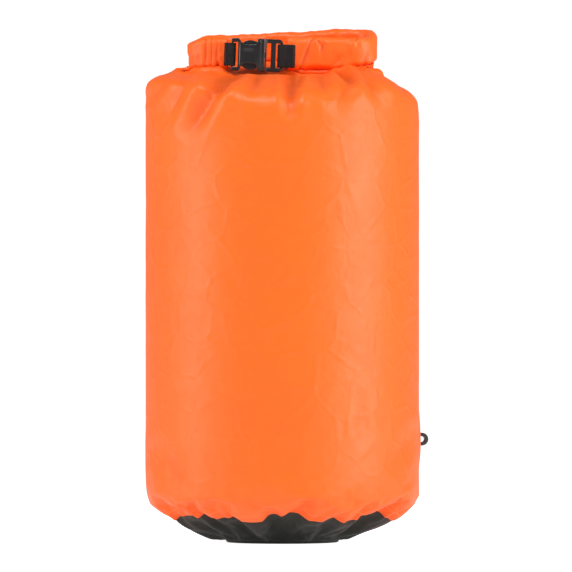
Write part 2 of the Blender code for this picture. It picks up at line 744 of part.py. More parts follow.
clear_scene()
BAG = collection("dry_bag")
CUTTERS = collection("cutters", shown=False)
BUCKLE_MATRIX = Matrix.Translation(BUCKLE_PLACE) @ Matrix.Rotation(BUCKLE_TILT, 4, "Y")
VALVE_MATRIX = (
    Matrix.Rotation(VALVE_TURN, 4, "Z")
    @ Matrix.Translation((BAG_RADIUS, 0, VALVE_HEIGHT))
    @ Matrix.Rotation(math.radians(90), 4, "Y")
    @ Matrix.Rotation(math.radians(180), 4, "Z")
)
BUCKLE = add_empty("buckle_axis", BUCKLE_MATRIX)
RELEASE = add_empty("plug_slide", Matrix.Identity(4), BUCKLE)
VALVE = add_empty("valve_axis", VALVE_MATRIX)
VALVE_MOVING = add_empty("valve_turn", Matrix.Identity(4), VALVE)
bpy.context.view_layer.update()
build_body_shell()
build_base()
build_side_seam()
build_roll()
build_socket()
build_plug()
build_straps()
build_valve()
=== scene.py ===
"""Roll-top dry bag: the looks of its cloth, rolled mouth, buckle, straps and valve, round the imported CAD."""

import math

import bmesh
import bpy
import numpy as np
from mathutils import Matrix, Vector, noise


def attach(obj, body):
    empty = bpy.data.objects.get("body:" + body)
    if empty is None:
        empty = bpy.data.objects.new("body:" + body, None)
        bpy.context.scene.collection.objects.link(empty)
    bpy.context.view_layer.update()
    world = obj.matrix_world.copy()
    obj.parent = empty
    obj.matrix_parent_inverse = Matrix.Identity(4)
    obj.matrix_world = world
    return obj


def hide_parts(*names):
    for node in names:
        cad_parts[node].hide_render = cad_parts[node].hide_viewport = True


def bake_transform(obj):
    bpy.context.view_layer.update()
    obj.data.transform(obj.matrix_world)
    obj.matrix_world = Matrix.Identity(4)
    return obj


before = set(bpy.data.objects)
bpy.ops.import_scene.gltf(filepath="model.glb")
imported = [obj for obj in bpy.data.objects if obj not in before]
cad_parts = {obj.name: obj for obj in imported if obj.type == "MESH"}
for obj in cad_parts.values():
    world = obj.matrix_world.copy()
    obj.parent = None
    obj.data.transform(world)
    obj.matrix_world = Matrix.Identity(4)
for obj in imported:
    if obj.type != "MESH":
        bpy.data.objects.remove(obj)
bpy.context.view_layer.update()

# Dimensions in metres. The seam, the contact ring and the shoulder are the settled cloth's own, a little off the CAD's
MM = 0.001
BAG_RADIUS = 120 * MM
SEAM_RADIUS = 104 * MM
SEAM_HEIGHT = 15.5 * MM
CONTACT_RADIUS = 50 * MM
LOOP_HALF_WIDTH = 77 * MM
LOOP_HALF_DEPTH = 22 * MM
LOOP_CORNER = 16 * MM
LEFT_TIP = -47.5 * MM
RIGHT_TIP = 4.5 * MM
ROLL_FRONT_LEVEL = 426 * MM
ROLL_BACK_LEVEL = 432 * MM
ROLL_TILT = 0.045
ROLL_HEIGHT = 29.5 * MM
ROLL_THICKNESS = 13 * MM

FIT = 0.3 * MM
WELD_LINE = 9 * MM

BUCKLE_PLACE = Vector((-45.5 * MM, -30.5 * MM, 425 * MM))
BUCKLE_MATRIX = Matrix.Translation(BUCKLE_PLACE) @ Matrix.Rotation(math.radians(2), 4, "Y")
STRAP_WIDTH = 20 * MM
STRAP_THICKNESS = 1.2 * MM
SOCKET_LENGTH = 30.3 * MM
END_BAR = 2.8 * MM
PLUG_LENGTH = 15.5 * MM
OUTER_BAR = 2.6 * MM

VALVE_TURN = math.radians(12)
VALVE_AXIS = (math.cos(VALVE_TURN), math.sin(VALVE_TURN), 0.0)
VALVE_PLACE = (BAG_RADIUS * VALVE_AXIS[0], BAG_RADIUS * VALVE_AXIS[1], 89.5 * MM)

ORANGE = (0.96, 0.128, 0.004)
ORANGE_DEEP = (0.90, 0.092, 0.002)
ORANGE_PALE = (0.98, 0.26, 0.07)
# painted shade: a deeper orange that the cloth's creases and the roll's lower edge are coloured with, standing in for
# their shade
ORANGE_PAINTED_SHADE = (0.78, 0.097, 0.002)

CAMERA_DISTANCE = 7.0
FLOOR_GLOW = 0.30
FLOOR_WHITE = 0.60
AMBIENT = 0.22
LIGHTS = (
    ("left_softbox", (-1.9, -0.45, 0.70), (0.9, 1.8), 23.0),
    ("right_softbox", (1.8, -0.75, 0.75), (1.0, 1.8), 39.0),
    ("front_softbox", (-0.5, -1.5, 2.3), (1.2, 0.7), 40.0),
)

# Cloth: its mesh, its cut, and how it is held and filled
AROUND = 168
ROWS = 92
BASE_RINGS = 22
NECK_GAP = 2.2 * MM
SHOULDER_HEIGHT = 376 * MM
CUT_SEAM = 116 * MM
SLACK = 0.008
NECK_SPARE = 0.02
BENDING = 0.8
HOLD_WALL = 0.8
HOLD_NECK = 0.8
HOLD_BASE = 0.04
PRESSURE = 12.0
WEIGHT = 0.0
SETTLING_FRAMES = 42
CLOTH_WALL = 0.9 * MM
VALVE_HOLE = 15.2 * MM
STRAP_PLY = -0.4 * MM


def smooth(t):
    t = np.clip(t, 0.0, 1.0)
    return t * t * (3 - 2 * t)


def loop_corner(side, front, steps=14):
    """One rounded corner of the loop's plan, from its front or back run to its side run."""
    centre = np.array((side * (LOOP_HALF_WIDTH - LOOP_CORNER), front * (LOOP_HALF_DEPTH - LOOP_CORNER)))
    start, end = 90 * front, (0 if side > 0 else 180 * front)
    turns = np.radians(np.linspace(start, end, steps))
    return centre + LOOP_CORNER * np.column_stack((np.cos(turns), np.sin(turns)))


def loop_plan():
    """Plan of the rolled mouth from its left tip round the back to its right tip, and the length so far."""
    plan = np.vstack(
        (
            [(LEFT_TIP, -LOOP_HALF_DEPTH)],
            loop_corner(-1, -1),
            loop_corner(-1, 1)[::-1],
            loop_corner(1, 1),
            loop_corner(1, -1)[::-1],
            [(RIGHT_TIP, -LOOP_HALF_DEPTH)],
        )
    )
    return plan, np.r_[0, np.cumsum(np.linalg.norm(np.diff(plan, axis=0), axis=1))]


PLAN, PLAN_LENGTH = loop_plan()
LOOP_LENGTH = PLAN_LENGTH[-1]


def on_loop(length):
    """Points of the loop's plan, and the directions that point out of the loop there."""
    def at(place):
        place = np.clip(place, 0, LOOP_LENGTH)
        return np.column_stack([np.interp(place, PLAN_LENGTH, PLAN[:, i]) for i in (0, 1)])
    ahead = at(length + 3 * MM) - at(length - 3 * MM)
    ahead /= np.linalg.norm(ahead, axis=1)[:, None]
    return at(length), np.column_stack((-ahead[:, 1], ahead[:, 0]))


def roll_level(plan):
    back = smooth((plan[:, 1] + LOOP_HALF_DEPTH) / (2 * LOOP_HALF_DEPTH))
    level = ROLL_FRONT_LEVEL + (ROLL_BACK_LEVEL - ROLL_FRONT_LEVEL) * back
    return level + ROLL_TILT * plan[:, 0] * back


def neck_ring(angles):
    """Top edge of the tube: the back panel on the outside of the loop, the front panel on its inside."""
    half_turn = np.degrees(angles) % 360
    behind = half_turn <= 180
    share = np.where(behind, 180 - half_turn, half_turn - 180) / 180
    plan, out = on_loop(np.clip(share, 0.002, 0.998) * LOOP_LENGTH)
    edge = np.clip(np.minimum(share, 1 - share) * 30, 0, 1)
    plan = plan + out * (NECK_GAP * edge * np.where(behind, 1, -1))[:, None]
    return np.column_stack((plan, roll_level(plan) - ROLL_HEIGHT / 2 + 3 * MM))


def sewn_shape():
    """The bag before it is filled. For each upright line of the tube: its points from the seam to the neck
    and the lengths of cloth between them."""
    angles = 2 * np.pi * np.arange(AROUND) / AROUND
    neck = neck_ring(angles)
    across, along = np.cos(angles), np.sin(angles)
    wall = BAG_RADIUS - 0.7 * MM
    shoulder = SHOULDER_HEIGHT + 22 * MM * smooth(-across) - 3 * MM * smooth(across)
    fine = 400
    lines = np.empty((AROUND, fine, 3))
    for i in range(AROUND):
        t = np.linspace(0, 1, 60)
        turn = t * np.pi / 2
        low_r = SEAM_RADIUS + (wall - SEAM_RADIUS) * np.sin(turn)
        low_z = SEAM_HEIGHT + 30 * MM * (1 - np.cos(turn))
        t = np.linspace(0, 1, 260)[1:]
        mid_z = low_z[-1] + (shoulder[i] - low_z[-1]) * t
        mid = np.column_stack((np.full(t.size, wall * across[i]), np.full(t.size, wall * along[i]), mid_z))
        low = np.column_stack((low_r * across[i], low_r * along[i], low_z))
        turn = np.linspace(0, 1, 200)[1:] * np.pi / 2
        closing, lift = (1 - np.cos(turn)) ** (1 + 0.4 * smooth(across[i])), np.sin(turn)
        sag = 4 * 7 * MM * closing * (1 - closing) * max(0.0, -along[i])
        start = mid[-1]
        top = start + (neck[i] - start) * np.column_stack((closing, closing, lift))
        top[:, 2] -= sag
        line = np.vstack((low, mid, top))
        length = np.r_[0, np.cumsum(np.linalg.norm(np.diff(line, axis=0), axis=1))]
        place = np.linspace(0, length[-1], fine)
        lines[i] = np.column_stack([np.interp(place, length, line[:, k]) for k in range(3)])
    return angles, lines


def row_shares():
    """Heights of the rows of cloth as shares of its length: closer together at the seam and the neck."""
    share = np.linspace(0, 1, 2001)
    density = 1 + 1.3 * (1 - smooth(share / 0.14)) + 0.9 * smooth((share - 0.66) / 0.12)
    total = np.r_[0, np.cumsum((density[1:] + density[:-1]) / 2)]
    return np.interp(np.linspace(0, total[-1], ROWS + 1), total, share)


def bag_cloth():
    """Mesh data of the unfilled bag: its start, its cut (unstretched) shape, faces, and what is held."""
    angles, lines = sewn_shape()
    shares = row_shares()
    fine = np.linspace(0, 1, lines.shape[1])
    step = np.linalg.norm(np.diff(lines, axis=1), axis=2)
    length = np.concatenate((np.zeros((AROUND, 1)), np.cumsum(step, axis=1)), axis=1)
    start, cut = [], []
    unit = np.column_stack((np.cos(angles), np.sin(angles)))
    for share in shares:
        row = np.array([[np.interp(share, fine, lines[i, :, k]) for k in range(3)] for i in range(AROUND)])
        high = np.array([np.interp(share, fine, length[i]) for i in range(AROUND)])
        start.append(row)
        narrow = CUT_SEAM + (BAG_RADIUS - CUT_SEAM) * smooth(high / (45 * MM))
        girth = np.linalg.norm(np.diff(row, axis=0, append=row[:1]), axis=1).sum() / (2 * np.pi)
        if share > 0.5:
            narrow = np.minimum(narrow, girth * (1 + NECK_SPARE))
        cut.append(np.column_stack((unit * narrow[:, None], high * (1 + SLACK))))
    faces = []
    rows = len(shares)
    for j in range(rows - 1):
        for i in range(AROUND):
            k = (i + 1) % AROUND
            faces.append((j * AROUND + i, j * AROUND + k, (j + 1) * AROUND + k, (j + 1) * AROUND + i))
    # base
    lean = SEAM_RADIUS - CONTACT_RADIUS
    turn = np.linspace(0, np.pi / 2, 80)
    bowl = np.column_stack((CONTACT_RADIUS + lean * np.cos(turn), SEAM_HEIGHT * (1 - np.sin(turn))))
    bowl = np.vstack((bowl, [(0, 0)]))
    run = np.r_[0, np.cumsum(np.linalg.norm(np.diff(bowl, axis=0), axis=1))]
    previous = list(range(AROUND))
    count, used = AROUND, rows * AROUND
    held = []
    for k in range(1, BASE_RINGS):
        place = run[-1] * k / BASE_RINGS
        radius = np.interp(place, run, bowl[:, 0])
        height = np.interp(place, run, bowl[:, 1])
        flat = CUT_SEAM - place * (1 + SLACK)
        if radius < 45 * MM and count == AROUND:
            count //= 2
        elif radius < 22 * MM and count == AROUND // 2:
            count //= 2
        elif radius < 10 * MM and count == AROUND // 4:
            count //= 2
        spokes = 2 * np.pi * np.arange(count) / count
        ring = np.column_stack((np.cos(spokes), np.sin(spokes)))
        start.append(np.column_stack((ring * radius, np.full(count, height))))
        cut.append(np.column_stack((ring * max(flat, radius * 1.0), np.zeros(count))))
        new = list(range(used, used + count))
        used += count
        if radius < CONTACT_RADIUS:
            held += new
        if len(previous) == count:
            for i in range(count):
                j = (i + 1) % count
                faces.append((previous[j], previous[i], new[i], new[j]))
        else:
            twice = len(previous)
            for i in range(count):
                j = (i + 1) % count
                a, b, c = previous[2 * i], previous[2 * i + 1], previous[(2 * i + 2) % twice]
                faces += [(b, a, new[i]), (b, new[i], new[j]), (c, b, new[j])]
        previous = new
    start.append(np.zeros((1, 3)))
    cut.append(np.zeros((1, 3)))
    held.append(used)
    for i in range(len(previous)):
        faces.append((previous[(i + 1) % len(previous)], previous[i], used))
    top = list(range((rows - 1) * AROUND, rows * AROUND))
    return np.vstack(start), np.vstack(cut), faces, held + top, rows


def guard_mesh():
    """A plain strip in the place of the roll's underside, which the cloth can't pass."""
    length = np.linspace(0, LOOP_LENGTH, 60)
    plan, out = on_loop(length)
    low = roll_level(plan) - ROLL_HEIGHT / 2 + 0.5 * MM
    half = 6.5 * MM
    verts, faces = [], []
    for p, n, z in zip(plan, out, low):
        outer, inner = p + n * half, p - n * half
        verts += [(*outer, z + 12 * MM), (*outer, z), (*inner, z), (*inner, z + 12 * MM)]
    for i in range(len(length) - 1):
        for k in range(3):
            a = 4 * i + k
            faces.append((a, a + 1, a + 5, a + 4))
    made = bpy.data.meshes.new("guard")
    made.from_pydata(verts, [], faces)
    return made


def fill_bag():
    """Blows the sewn bag up. Its wall and neck are drawn back to where they are sewn, so mostly the base settles."""
    start, cut, faces, held, rows = bag_cloth()
    made = bpy.data.meshes.new("bag_cloth")
    made.from_pydata(start.tolist(), [], faces)
    bag = bpy.data.objects.new("bag_cloth", made)
    scene = bpy.context.scene
    scene.collection.objects.link(bag)
    bag.shape_key_add(name="Basis")
    flat = bag.shape_key_add(name="cut")
    flat.data.foreach_set("co", cut.ravel())
    flat.value = 0
    pins = bag.vertex_groups.new(name="held")
    height = start[:, 2]
    wall = smooth((height - 40 * MM) / (25 * MM)) * (1 - smooth((height - 350 * MM) / (30 * MM)))
    end = np.where(height > 200 * MM, HOLD_NECK, HOLD_BASE)
    grip = end + (HOLD_WALL - end) * wall
    grip = np.round(grip * 50) / 50
    for level in np.unique(grip):
        pins.add(np.flatnonzero(grip == level).tolist(), float(level), "REPLACE")
    pins.add(held, 1.0, "REPLACE")
    stops = []
    ground = bpy.data.meshes.new("ground")
    ground.from_pydata([(-0.5, -0.5, 0), (0.5, -0.5, 0), (0.5, 0.5, 0), (-0.5, 0.5, 0)], [], [(0, 1, 2, 3)])
    for name, mesh in (("ground", ground), ("guard", guard_mesh())):
        stop = bpy.data.objects.new(name, mesh)
        scene.collection.objects.link(stop)
        if name == "ground":
            stop.location.z = -0.6 * MM
        stop.modifiers.new("stop", "COLLISION")
        stop.collision.thickness_outer = 1 * MM
        stop.collision.cloth_friction = 5
        stops.append(stop)
    cloth = bag.modifiers.new("cloth", "CLOTH")
    s = cloth.settings
    s.quality = 6
    s.mass = 0.05
    s.air_damping = 2.0
    s.tension_stiffness = 80
    s.compression_stiffness = 25
    s.shear_stiffness = 12
    s.bending_model = "ANGULAR"
    s.bending_stiffness = BENDING
    s.tension_damping = 8
    s.compression_damping = 8
    s.shear_damping = 5
    s.bending_damping = 0.5
    s.vertex_group_mass = "held"
    s.pin_stiffness = 1
    s.rest_shape_key = flat
    s.use_pressure = True
    s.uniform_pressure_force = PRESSURE
    s.effector_weights.gravity = WEIGHT
    cloth.collision_settings.use_collision = True
    cloth.collision_settings.distance_min = 1 * MM
    cloth.collision_settings.use_self_collision = False
    scene.frame_start, scene.frame_end = 1, SETTLING_FRAMES
    cloth.point_cache.frame_start, cloth.point_cache.frame_end = 1, SETTLING_FRAMES
    for step in range(1, SETTLING_FRAMES + 1):
        scene.frame_set(step)
    graph = bpy.context.evaluated_depsgraph_get()
    settled = bpy.data.meshes.new_from_object(bag.evaluated_get(graph))
    place = read_points(settled)
    for thing in (bag, *stops):
        bpy.data.objects.remove(thing)
    scene.frame_set(1)
    return place, cut, faces, rows


# Object helpers


def add_piece(name, mesh, finish, body, *replaced, slot=None, sharp=None):
    """A piece from a mesh in the object's frame, with its finish, body and the CAD nodes it stands for."""
    made = bpy.data.objects.new(name, mesh)
    made.data.materials.clear()
    made.data.materials.append(finish)
    made.data.shade_smooth()
    if sharp:
        made.data.set_sharp_from_angle(angle=math.radians(sharp))
    bpy.context.scene.collection.objects.link(made)
    if body:
        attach(made, body)
    if replaced:
        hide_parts(*replaced)
    return made


def quads(rows, columns):
    """Corner numbers of the faces of a sheet of rows of points."""
    return [
        (j * columns + i, j * columns + i + 1, (j + 1) * columns + i + 1, (j + 1) * columns + i)
        for j in range(rows - 1) for i in range(columns - 1)
    ]


def lay_flat(mesh, places):
    """The cloth's own flat coordinates, one pair for each corner of each face."""
    mesh.uv_layers.new(name="cloth").data.foreach_set("uv", np.asarray(places, dtype=np.float32).ravel())


def grid_mesh(name, points, uv=None):
    """A sheet of quads from an array of rows of points."""
    faces = quads(*points.shape[:2])
    made = bpy.data.meshes.new(name)
    made.from_pydata(points.reshape(-1, 3).tolist(), [], faces)
    if uv is not None:
        lay_flat(made, uv.reshape(-1, 2)[np.array(faces).ravel()])
    return made


def read_points(mesh, what="co"):
    values = np.empty(len(mesh.vertices) * 3)
    mesh.vertices.foreach_get(what, values)
    return values.reshape(-1, 3)


def set_attribute(mesh, name, values):
    made = mesh.attributes.new(name, "FLOAT", "POINT")
    made.data.foreach_set("value", np.asarray(values, dtype=np.float32))


def finished_mesh(thing):
    """The object's mesh with its modifiers worked out; the object goes."""
    graph = bpy.context.evaluated_depsgraph_get()
    graph.update()
    made = bpy.data.meshes.new_from_object(thing.evaluated_get(graph))
    bpy.data.objects.remove(thing)
    return made


def helper(mesh):
    made = bpy.data.objects.new("helper_" + mesh.name, mesh)
    bpy.context.scene.collection.objects.link(made)
    return made


# Shader groups


class Nodes:
    """Short calls for building a node tree."""

    def __init__(self, tree):
        self.tree = tree
        self.tree.nodes.clear()

    def add(self, kind, **settings):
        node = self.tree.nodes.new(kind)
        for key, value in settings.items():
            setattr(node, key, value)
        return node

    def join(self, out, into):
        self.tree.links.new(out, into)

    def feed(self, socket, value):
        if isinstance(value, bpy.types.NodeSocket):
            self.join(value, socket)
        else:
            socket.default_value = value

    def math(self, operation, a, b=0.0, c=None, clamp=False):
        node = self.add("ShaderNodeMath", operation=operation, use_clamp=clamp)
        self.feed(node.inputs[0], a)
        self.feed(node.inputs[1], b)
        if c is not None:
            self.feed(node.inputs[2], c)
        return node.outputs[0]

    def mix(self, share, a, b, blend="MIX"):
        node = self.add("ShaderNodeMix", data_type="RGBA", blend_type=blend)
        self.feed(node.inputs[0], share)
        for socket, value in ((node.inputs[6], a), (node.inputs[7], b)):
            if isinstance(value, tuple) and len(value) == 3:
                value = (*value, 1.0)
            self.feed(socket, value)
        return node.outputs[2]

    def noise(self, place, scale, detail=3.0, roughness=0.55):
        node = self.add("ShaderNodeTexNoise")
        self.feed(node.inputs["Vector"], place)
        self.feed(node.inputs["Scale"], scale)
        set_values(node, Detail=detail, Roughness=roughness)
        return node.outputs["Fac"]

    def ramp(self, value, low, high):
        node = self.add("ShaderNodeMapRange", interpolation_type="SMOOTHSTEP")
        self.feed(node.inputs["Value"], value)
        self.feed(node.inputs["From Min"], low)
        self.feed(node.inputs["From Max"], high)
        return node.outputs["Result"]

    def use(self, group, **values):
        node = self.add("ShaderNodeGroup")
        node.node_tree = group
        for key, value in values.items():
            self.feed(node.inputs[key.replace("_", " ")], value)
        return node


def shader_group(name, takes, gives):
    tree = bpy.data.node_groups.new(name, "ShaderNodeTree")
    kinds = {"f": "NodeSocketFloat", "v": "NodeSocketVector", "c": "NodeSocketColor"}
    for label, kind, value in takes:
        socket = tree.interface.new_socket(label, in_out="INPUT", socket_type=kinds[kind])
        if value is not None:
            socket.default_value = value
    for label, kind in gives:
        tree.interface.new_socket(label, in_out="OUTPUT", socket_type=kinds[kind])
    nodes = Nodes(tree)
    return tree, nodes, nodes.add("NodeGroupInput").outputs, nodes.add("NodeGroupOutput").inputs


def weave_group():
    """Plain weave: threads that pass over and under each other, as a height."""
    tree, n, given, out = shader_group(
        "plain_weave", [("Place", "v", None), ("Threads", "f", 2000.0), ("Unevenness", "f", 0.3)],
        [("Height", "f"), ("Gaps", "f")],
    )
    wander = n.noise(given["Place"], n.math("MULTIPLY", given["Threads"], 0.06), 2.0)
    split = n.add("ShaderNodeSeparateXYZ")
    n.join(given["Place"], split.inputs[0])
    turns = n.math("MULTIPLY", given["Threads"], math.pi)
    shift = n.math("MULTIPLY", n.math("SUBTRACT", wander, 0.5), given["Unevenness"])
    warp = n.math("SINE", n.math("ADD", n.math("MULTIPLY", split.outputs[0], turns), shift))
    weft = n.math("SINE", n.math("ADD", n.math("MULTIPLY", split.outputs[1], turns), shift))
    crossing = n.math("MULTIPLY", warp, weft)
    height = n.math("MULTIPLY_ADD", crossing, 0.5, 0.5)
    gaps = n.math("SUBTRACT", 1.0, n.math("MAXIMUM", n.math("ABSOLUTE", warp), n.math("ABSOLUTE", weft)))
    n.join(height, out["Height"])
    n.join(gaps, out["Gaps"])
    return tree


def mottle_group():
    """Cloudy variation of a colour at two scales."""
    tree, n, given, out = shader_group(
        "colour_variation",
        [("Place", "v", None), ("Colour", "c", (1, 1, 1, 1)), ("Second", "c", (1, 1, 1, 1)), ("Scale", "f", 20.0),
         ("Amount", "f", 0.5)],
        [("Colour", "c"), ("Clouds", "f")],
    )
    broad = n.noise(given["Place"], given["Scale"], 3.0)
    small = n.noise(given["Place"], n.math("MULTIPLY", given["Scale"], 7.3), 4.0)
    clouds = n.ramp(n.math("MULTIPLY_ADD", small, 0.35, n.math("MULTIPLY", broad, 0.65)), 0.34, 0.66)
    share = n.math("MULTIPLY", clouds, given["Amount"])
    n.join(n.mix(share, given["Colour"], given["Second"]), out["Colour"])
    n.join(clouds, out["Clouds"])
    return tree


def crinkle_group():
    """Small soft creases, as in thin coated cloth that has been folded."""
    tree, n, given, out = shader_group(
        "crinkles", [("Place", "v", None), ("Scale", "f", 60.0), ("Sharpness", "f", 0.5)],
        [("Height", "f"), ("Lines", "f")],
    )
    bend = n.add("ShaderNodeTexNoise")
    n.join(given["Place"], bend.inputs["Vector"])
    n.join(n.math("MULTIPLY", given["Scale"], 0.6), bend.inputs["Scale"])
    moved = n.add("ShaderNodeVectorMath", operation="MULTIPLY_ADD")
    n.join(bend.outputs["Color"], moved.inputs[0])
    moved.inputs[1].default_value = (0.012, 0.012, 0.012)
    n.join(given["Place"], moved.inputs[2])
    cells = n.add("ShaderNodeTexVoronoi", feature="DISTANCE_TO_EDGE")
    n.join(moved.outputs[0], cells.inputs["Vector"])
    n.join(given["Scale"], cells.inputs["Scale"])
    lines = n.math("SUBTRACT", 1.0, n.ramp(cells.outputs["Distance"], 0.0, 0.12))
    soft = n.noise(given["Place"], given["Scale"], 3.0)
    height = n.math("ADD", soft, n.math("MULTIPLY", n.math("MULTIPLY", lines, soft), given["Sharpness"]))
    n.join(height, out["Height"])
    n.join(lines, out["Lines"])
    return tree


def grain_group():
    """Fine pitted skin of a moulded part."""
    tree, n, given, out = shader_group(
        "moulded_grain", [("Place", "v", None), ("Scale", "f", 2600.0)], [("Height", "f"), ("Sheen", "f")]
    )
    fine = n.noise(given["Place"], given["Scale"], 2.0, 0.6)
    broad = n.noise(given["Place"], n.math("MULTIPLY", given["Scale"], 0.05), 3.0)
    n.join(n.math("ADD", fine, n.math("MULTIPLY", broad, 0.6)), out["Height"])
    n.join(broad, out["Sheen"])
    return tree


def wear_group():
    """Edges that are rubbed paler, broken up by noise."""
    tree, n, given, out = shader_group(
        "edge_wear", [("Place", "v", None), ("Start", "f", 0.54), ("Amount", "f", 0.5)], [("Mask", "f")]
    )
    shape = n.add("ShaderNodeNewGeometry")
    edge = n.ramp(shape.outputs["Pointiness"], given["Start"], n.math("ADD", given["Start"], 0.09))
    patches = n.ramp(n.noise(given["Place"], 420.0, 4.0), 0.35, 0.7)
    n.join(n.math("MULTIPLY", n.math("MULTIPLY", edge, patches), given["Amount"]), out["Mask"])
    return tree


def dust_group():
    """A little dust that settles where a surface faces up."""
    tree, n, given, out = shader_group("settled_dust", [("Place", "v", None), ("Amount", "f", 0.1)], [("Mask", "f")])
    shape = n.add("ShaderNodeNewGeometry")
    split = n.add("ShaderNodeSeparateXYZ")
    n.join(shape.outputs["Normal"], split.inputs[0])
    up = n.ramp(split.outputs[2], 0.2, 1.0)
    specks = n.ramp(n.noise(given["Place"], 160.0, 5.0, 0.7), 0.42, 0.72)
    n.join(n.math("MULTIPLY", n.math("MULTIPLY", up, specks), given["Amount"]), out["Mask"])
    return tree


GROUPS = {}


def groups():
    if not GROUPS:
        for label, build in (
            ("weave", weave_group), ("mottle", mottle_group), ("crinkle", crinkle_group), ("grain", grain_group),
            ("wear", wear_group), ("dust", dust_group),
        ):
            GROUPS[label] = build()
    return GROUPS


# Materials


def new_material(name):
    made = bpy.data.materials.new(name)
    made.use_nodes = True
    n = Nodes(made.node_tree)
    skin = n.add("ShaderNodeBsdfPrincipled")
    end = n.add("ShaderNodeOutputMaterial")
    n.join(skin.outputs[0], end.inputs[0])
    place = n.add("ShaderNodeTexCoord").outputs["Object"]
    return made, n, skin, place


def set_values(node, **values):
    """Constants, set on the node's own sockets."""
    for label, value in values.items():
        node.inputs[label.replace("_", " ")].default_value = value


def bump(n, height, distance, strength=1.0, under=None):
    node = n.add("ShaderNodeBump")
    set_values(node, Distance=distance, Strength=strength)
    n.join(height, node.inputs["Height"])
    if under is not None:
        n.join(under, node.inputs["Normal"])
    return node.outputs[0]


def cloth_place(n):
    """The cloth's own flat coordinates, in metres."""
    map_node = n.add("ShaderNodeUVMap")
    map_node.uv_map = "cloth"
    return map_node.outputs[0]


def orange_cloth(name, on_tube):
    made, n, skin, place = new_material(name)
    g = groups()
    flat = cloth_place(n)
    tone = n.use(g["mottle"], Place=place, Colour=(*ORANGE, 1), Second=(*ORANGE_DEEP, 1), Scale=14.0, Amount=0.28)
    weave = n.use(g["weave"], Place=flat, Threads=1900.0, Unevenness=0.8)
    broad = n.use(g["crinkle"], Place=place, Scale=34.0, Sharpness=0.35)
    fine = n.use(g["crinkle"], Place=place, Scale=95.0, Sharpness=0.6)
    # painted shade: the gaps between the threads are coloured deeper orange
    colour = n.mix(n.math("MULTIPLY", weave.outputs["Gaps"], 0.25), tone.outputs["Colour"], ORANGE_DEEP)
    normal = bump(n, broad.outputs["Height"], 2.2 * MM, 0.5)
    normal = bump(n, fine.outputs["Height"], 0.35 * MM, 0.4, normal)
    if on_tube:
        seam = n.add("ShaderNodeAttribute")
        seam.attribute_name = "from_seam"
        away = seam.outputs["Fac"]
        from_weld = n.math("ABSOLUTE", n.math("SUBTRACT", away, WELD_LINE))
        weld = n.math("SUBTRACT", 1.0, n.ramp(from_weld, 0.2 * MM, 1.3 * MM))
        band = n.math("SUBTRACT", 1.0, n.ramp(away, WELD_LINE - 0.6 * MM, WELD_LINE + 0.8 * MM))
        colour = n.mix(n.math("MULTIPLY", weld, 0.35), colour, ORANGE_PALE)
        colour = n.mix(n.math("MULTIPLY", band, 0.22), colour, ORANGE_DEEP)
        normal = bump(n, band, 0.5 * MM, 0.8, normal)
    normal = bump(n, weave.outputs["Height"], 0.06 * MM, 0.5, normal)
    # painted shade: along its creases, and on the roll along its lower edge, the cloth is coloured deeper orange by
    # the fold attribute
    fold = n.add("ShaderNodeAttribute")
    fold.attribute_name = "fold"
    colour = n.mix(n.ramp(fold.outputs["Fac"], 0.1, 1.2), colour, ORANGE_PAINTED_SHADE)
    dust = n.use(g["dust"], Place=place, Amount=0.05)
    colour = n.mix(dust.outputs["Mask"], colour, (0.80, 0.42, 0.25))
    n.join(colour, skin.inputs["Base Color"])
    n.join(n.math("MULTIPLY_ADD", tone.outputs["Clouds"], 0.08, 0.40), skin.inputs["Roughness"])
    n.join(normal, skin.inputs["Normal"])
    set_values(
        skin, Sheen_Weight=0.05, Sheen_Roughness=0.40, Sheen_Tint=(1.0, 0.62, 0.42, 1), Specular_IOR_Level=0.40,
    )
    return made


def base_cloth():
    made, n, skin, place = new_material("base_cloth")
    g = groups()
    flat = cloth_place(n)
    tone = n.use(
        g["mottle"], Place=place, Colour=(0.012, 0.014, 0.009, 1), Second=(0.022, 0.025, 0.018, 1),
        Scale=26.0, Amount=0.8,
    )
    weave = n.use(g["weave"], Place=flat, Threads=900.0, Unevenness=0.8)
    fold = n.use(g["crinkle"], Place=place, Scale=60.0, Sharpness=0.5)
    # painted shade: the gaps between the threads are coloured darker
    colour = n.mix(n.math("MULTIPLY", weave.outputs["Gaps"], 0.5), tone.outputs["Colour"], (0.010, 0.010, 0.008))
    scuffs = n.ramp(n.noise(place, 75.0, 6.0, 0.7), 0.58, 0.72)
    colour = n.mix(n.math("MULTIPLY", scuffs, 0.25), colour, (0.045, 0.047, 0.040))
    normal = bump(n, fold.outputs["Height"], 0.9 * MM, 0.5)
    normal = bump(n, weave.outputs["Height"], 0.12 * MM, 0.8, normal)
    n.join(colour, skin.inputs["Base Color"])
    n.join(n.math("MULTIPLY_ADD", scuffs, 0.12, 0.46), skin.inputs["Roughness"])
    n.join(normal, skin.inputs["Normal"])
    set_values(skin, Specular_IOR_Level=0.35)
    return made


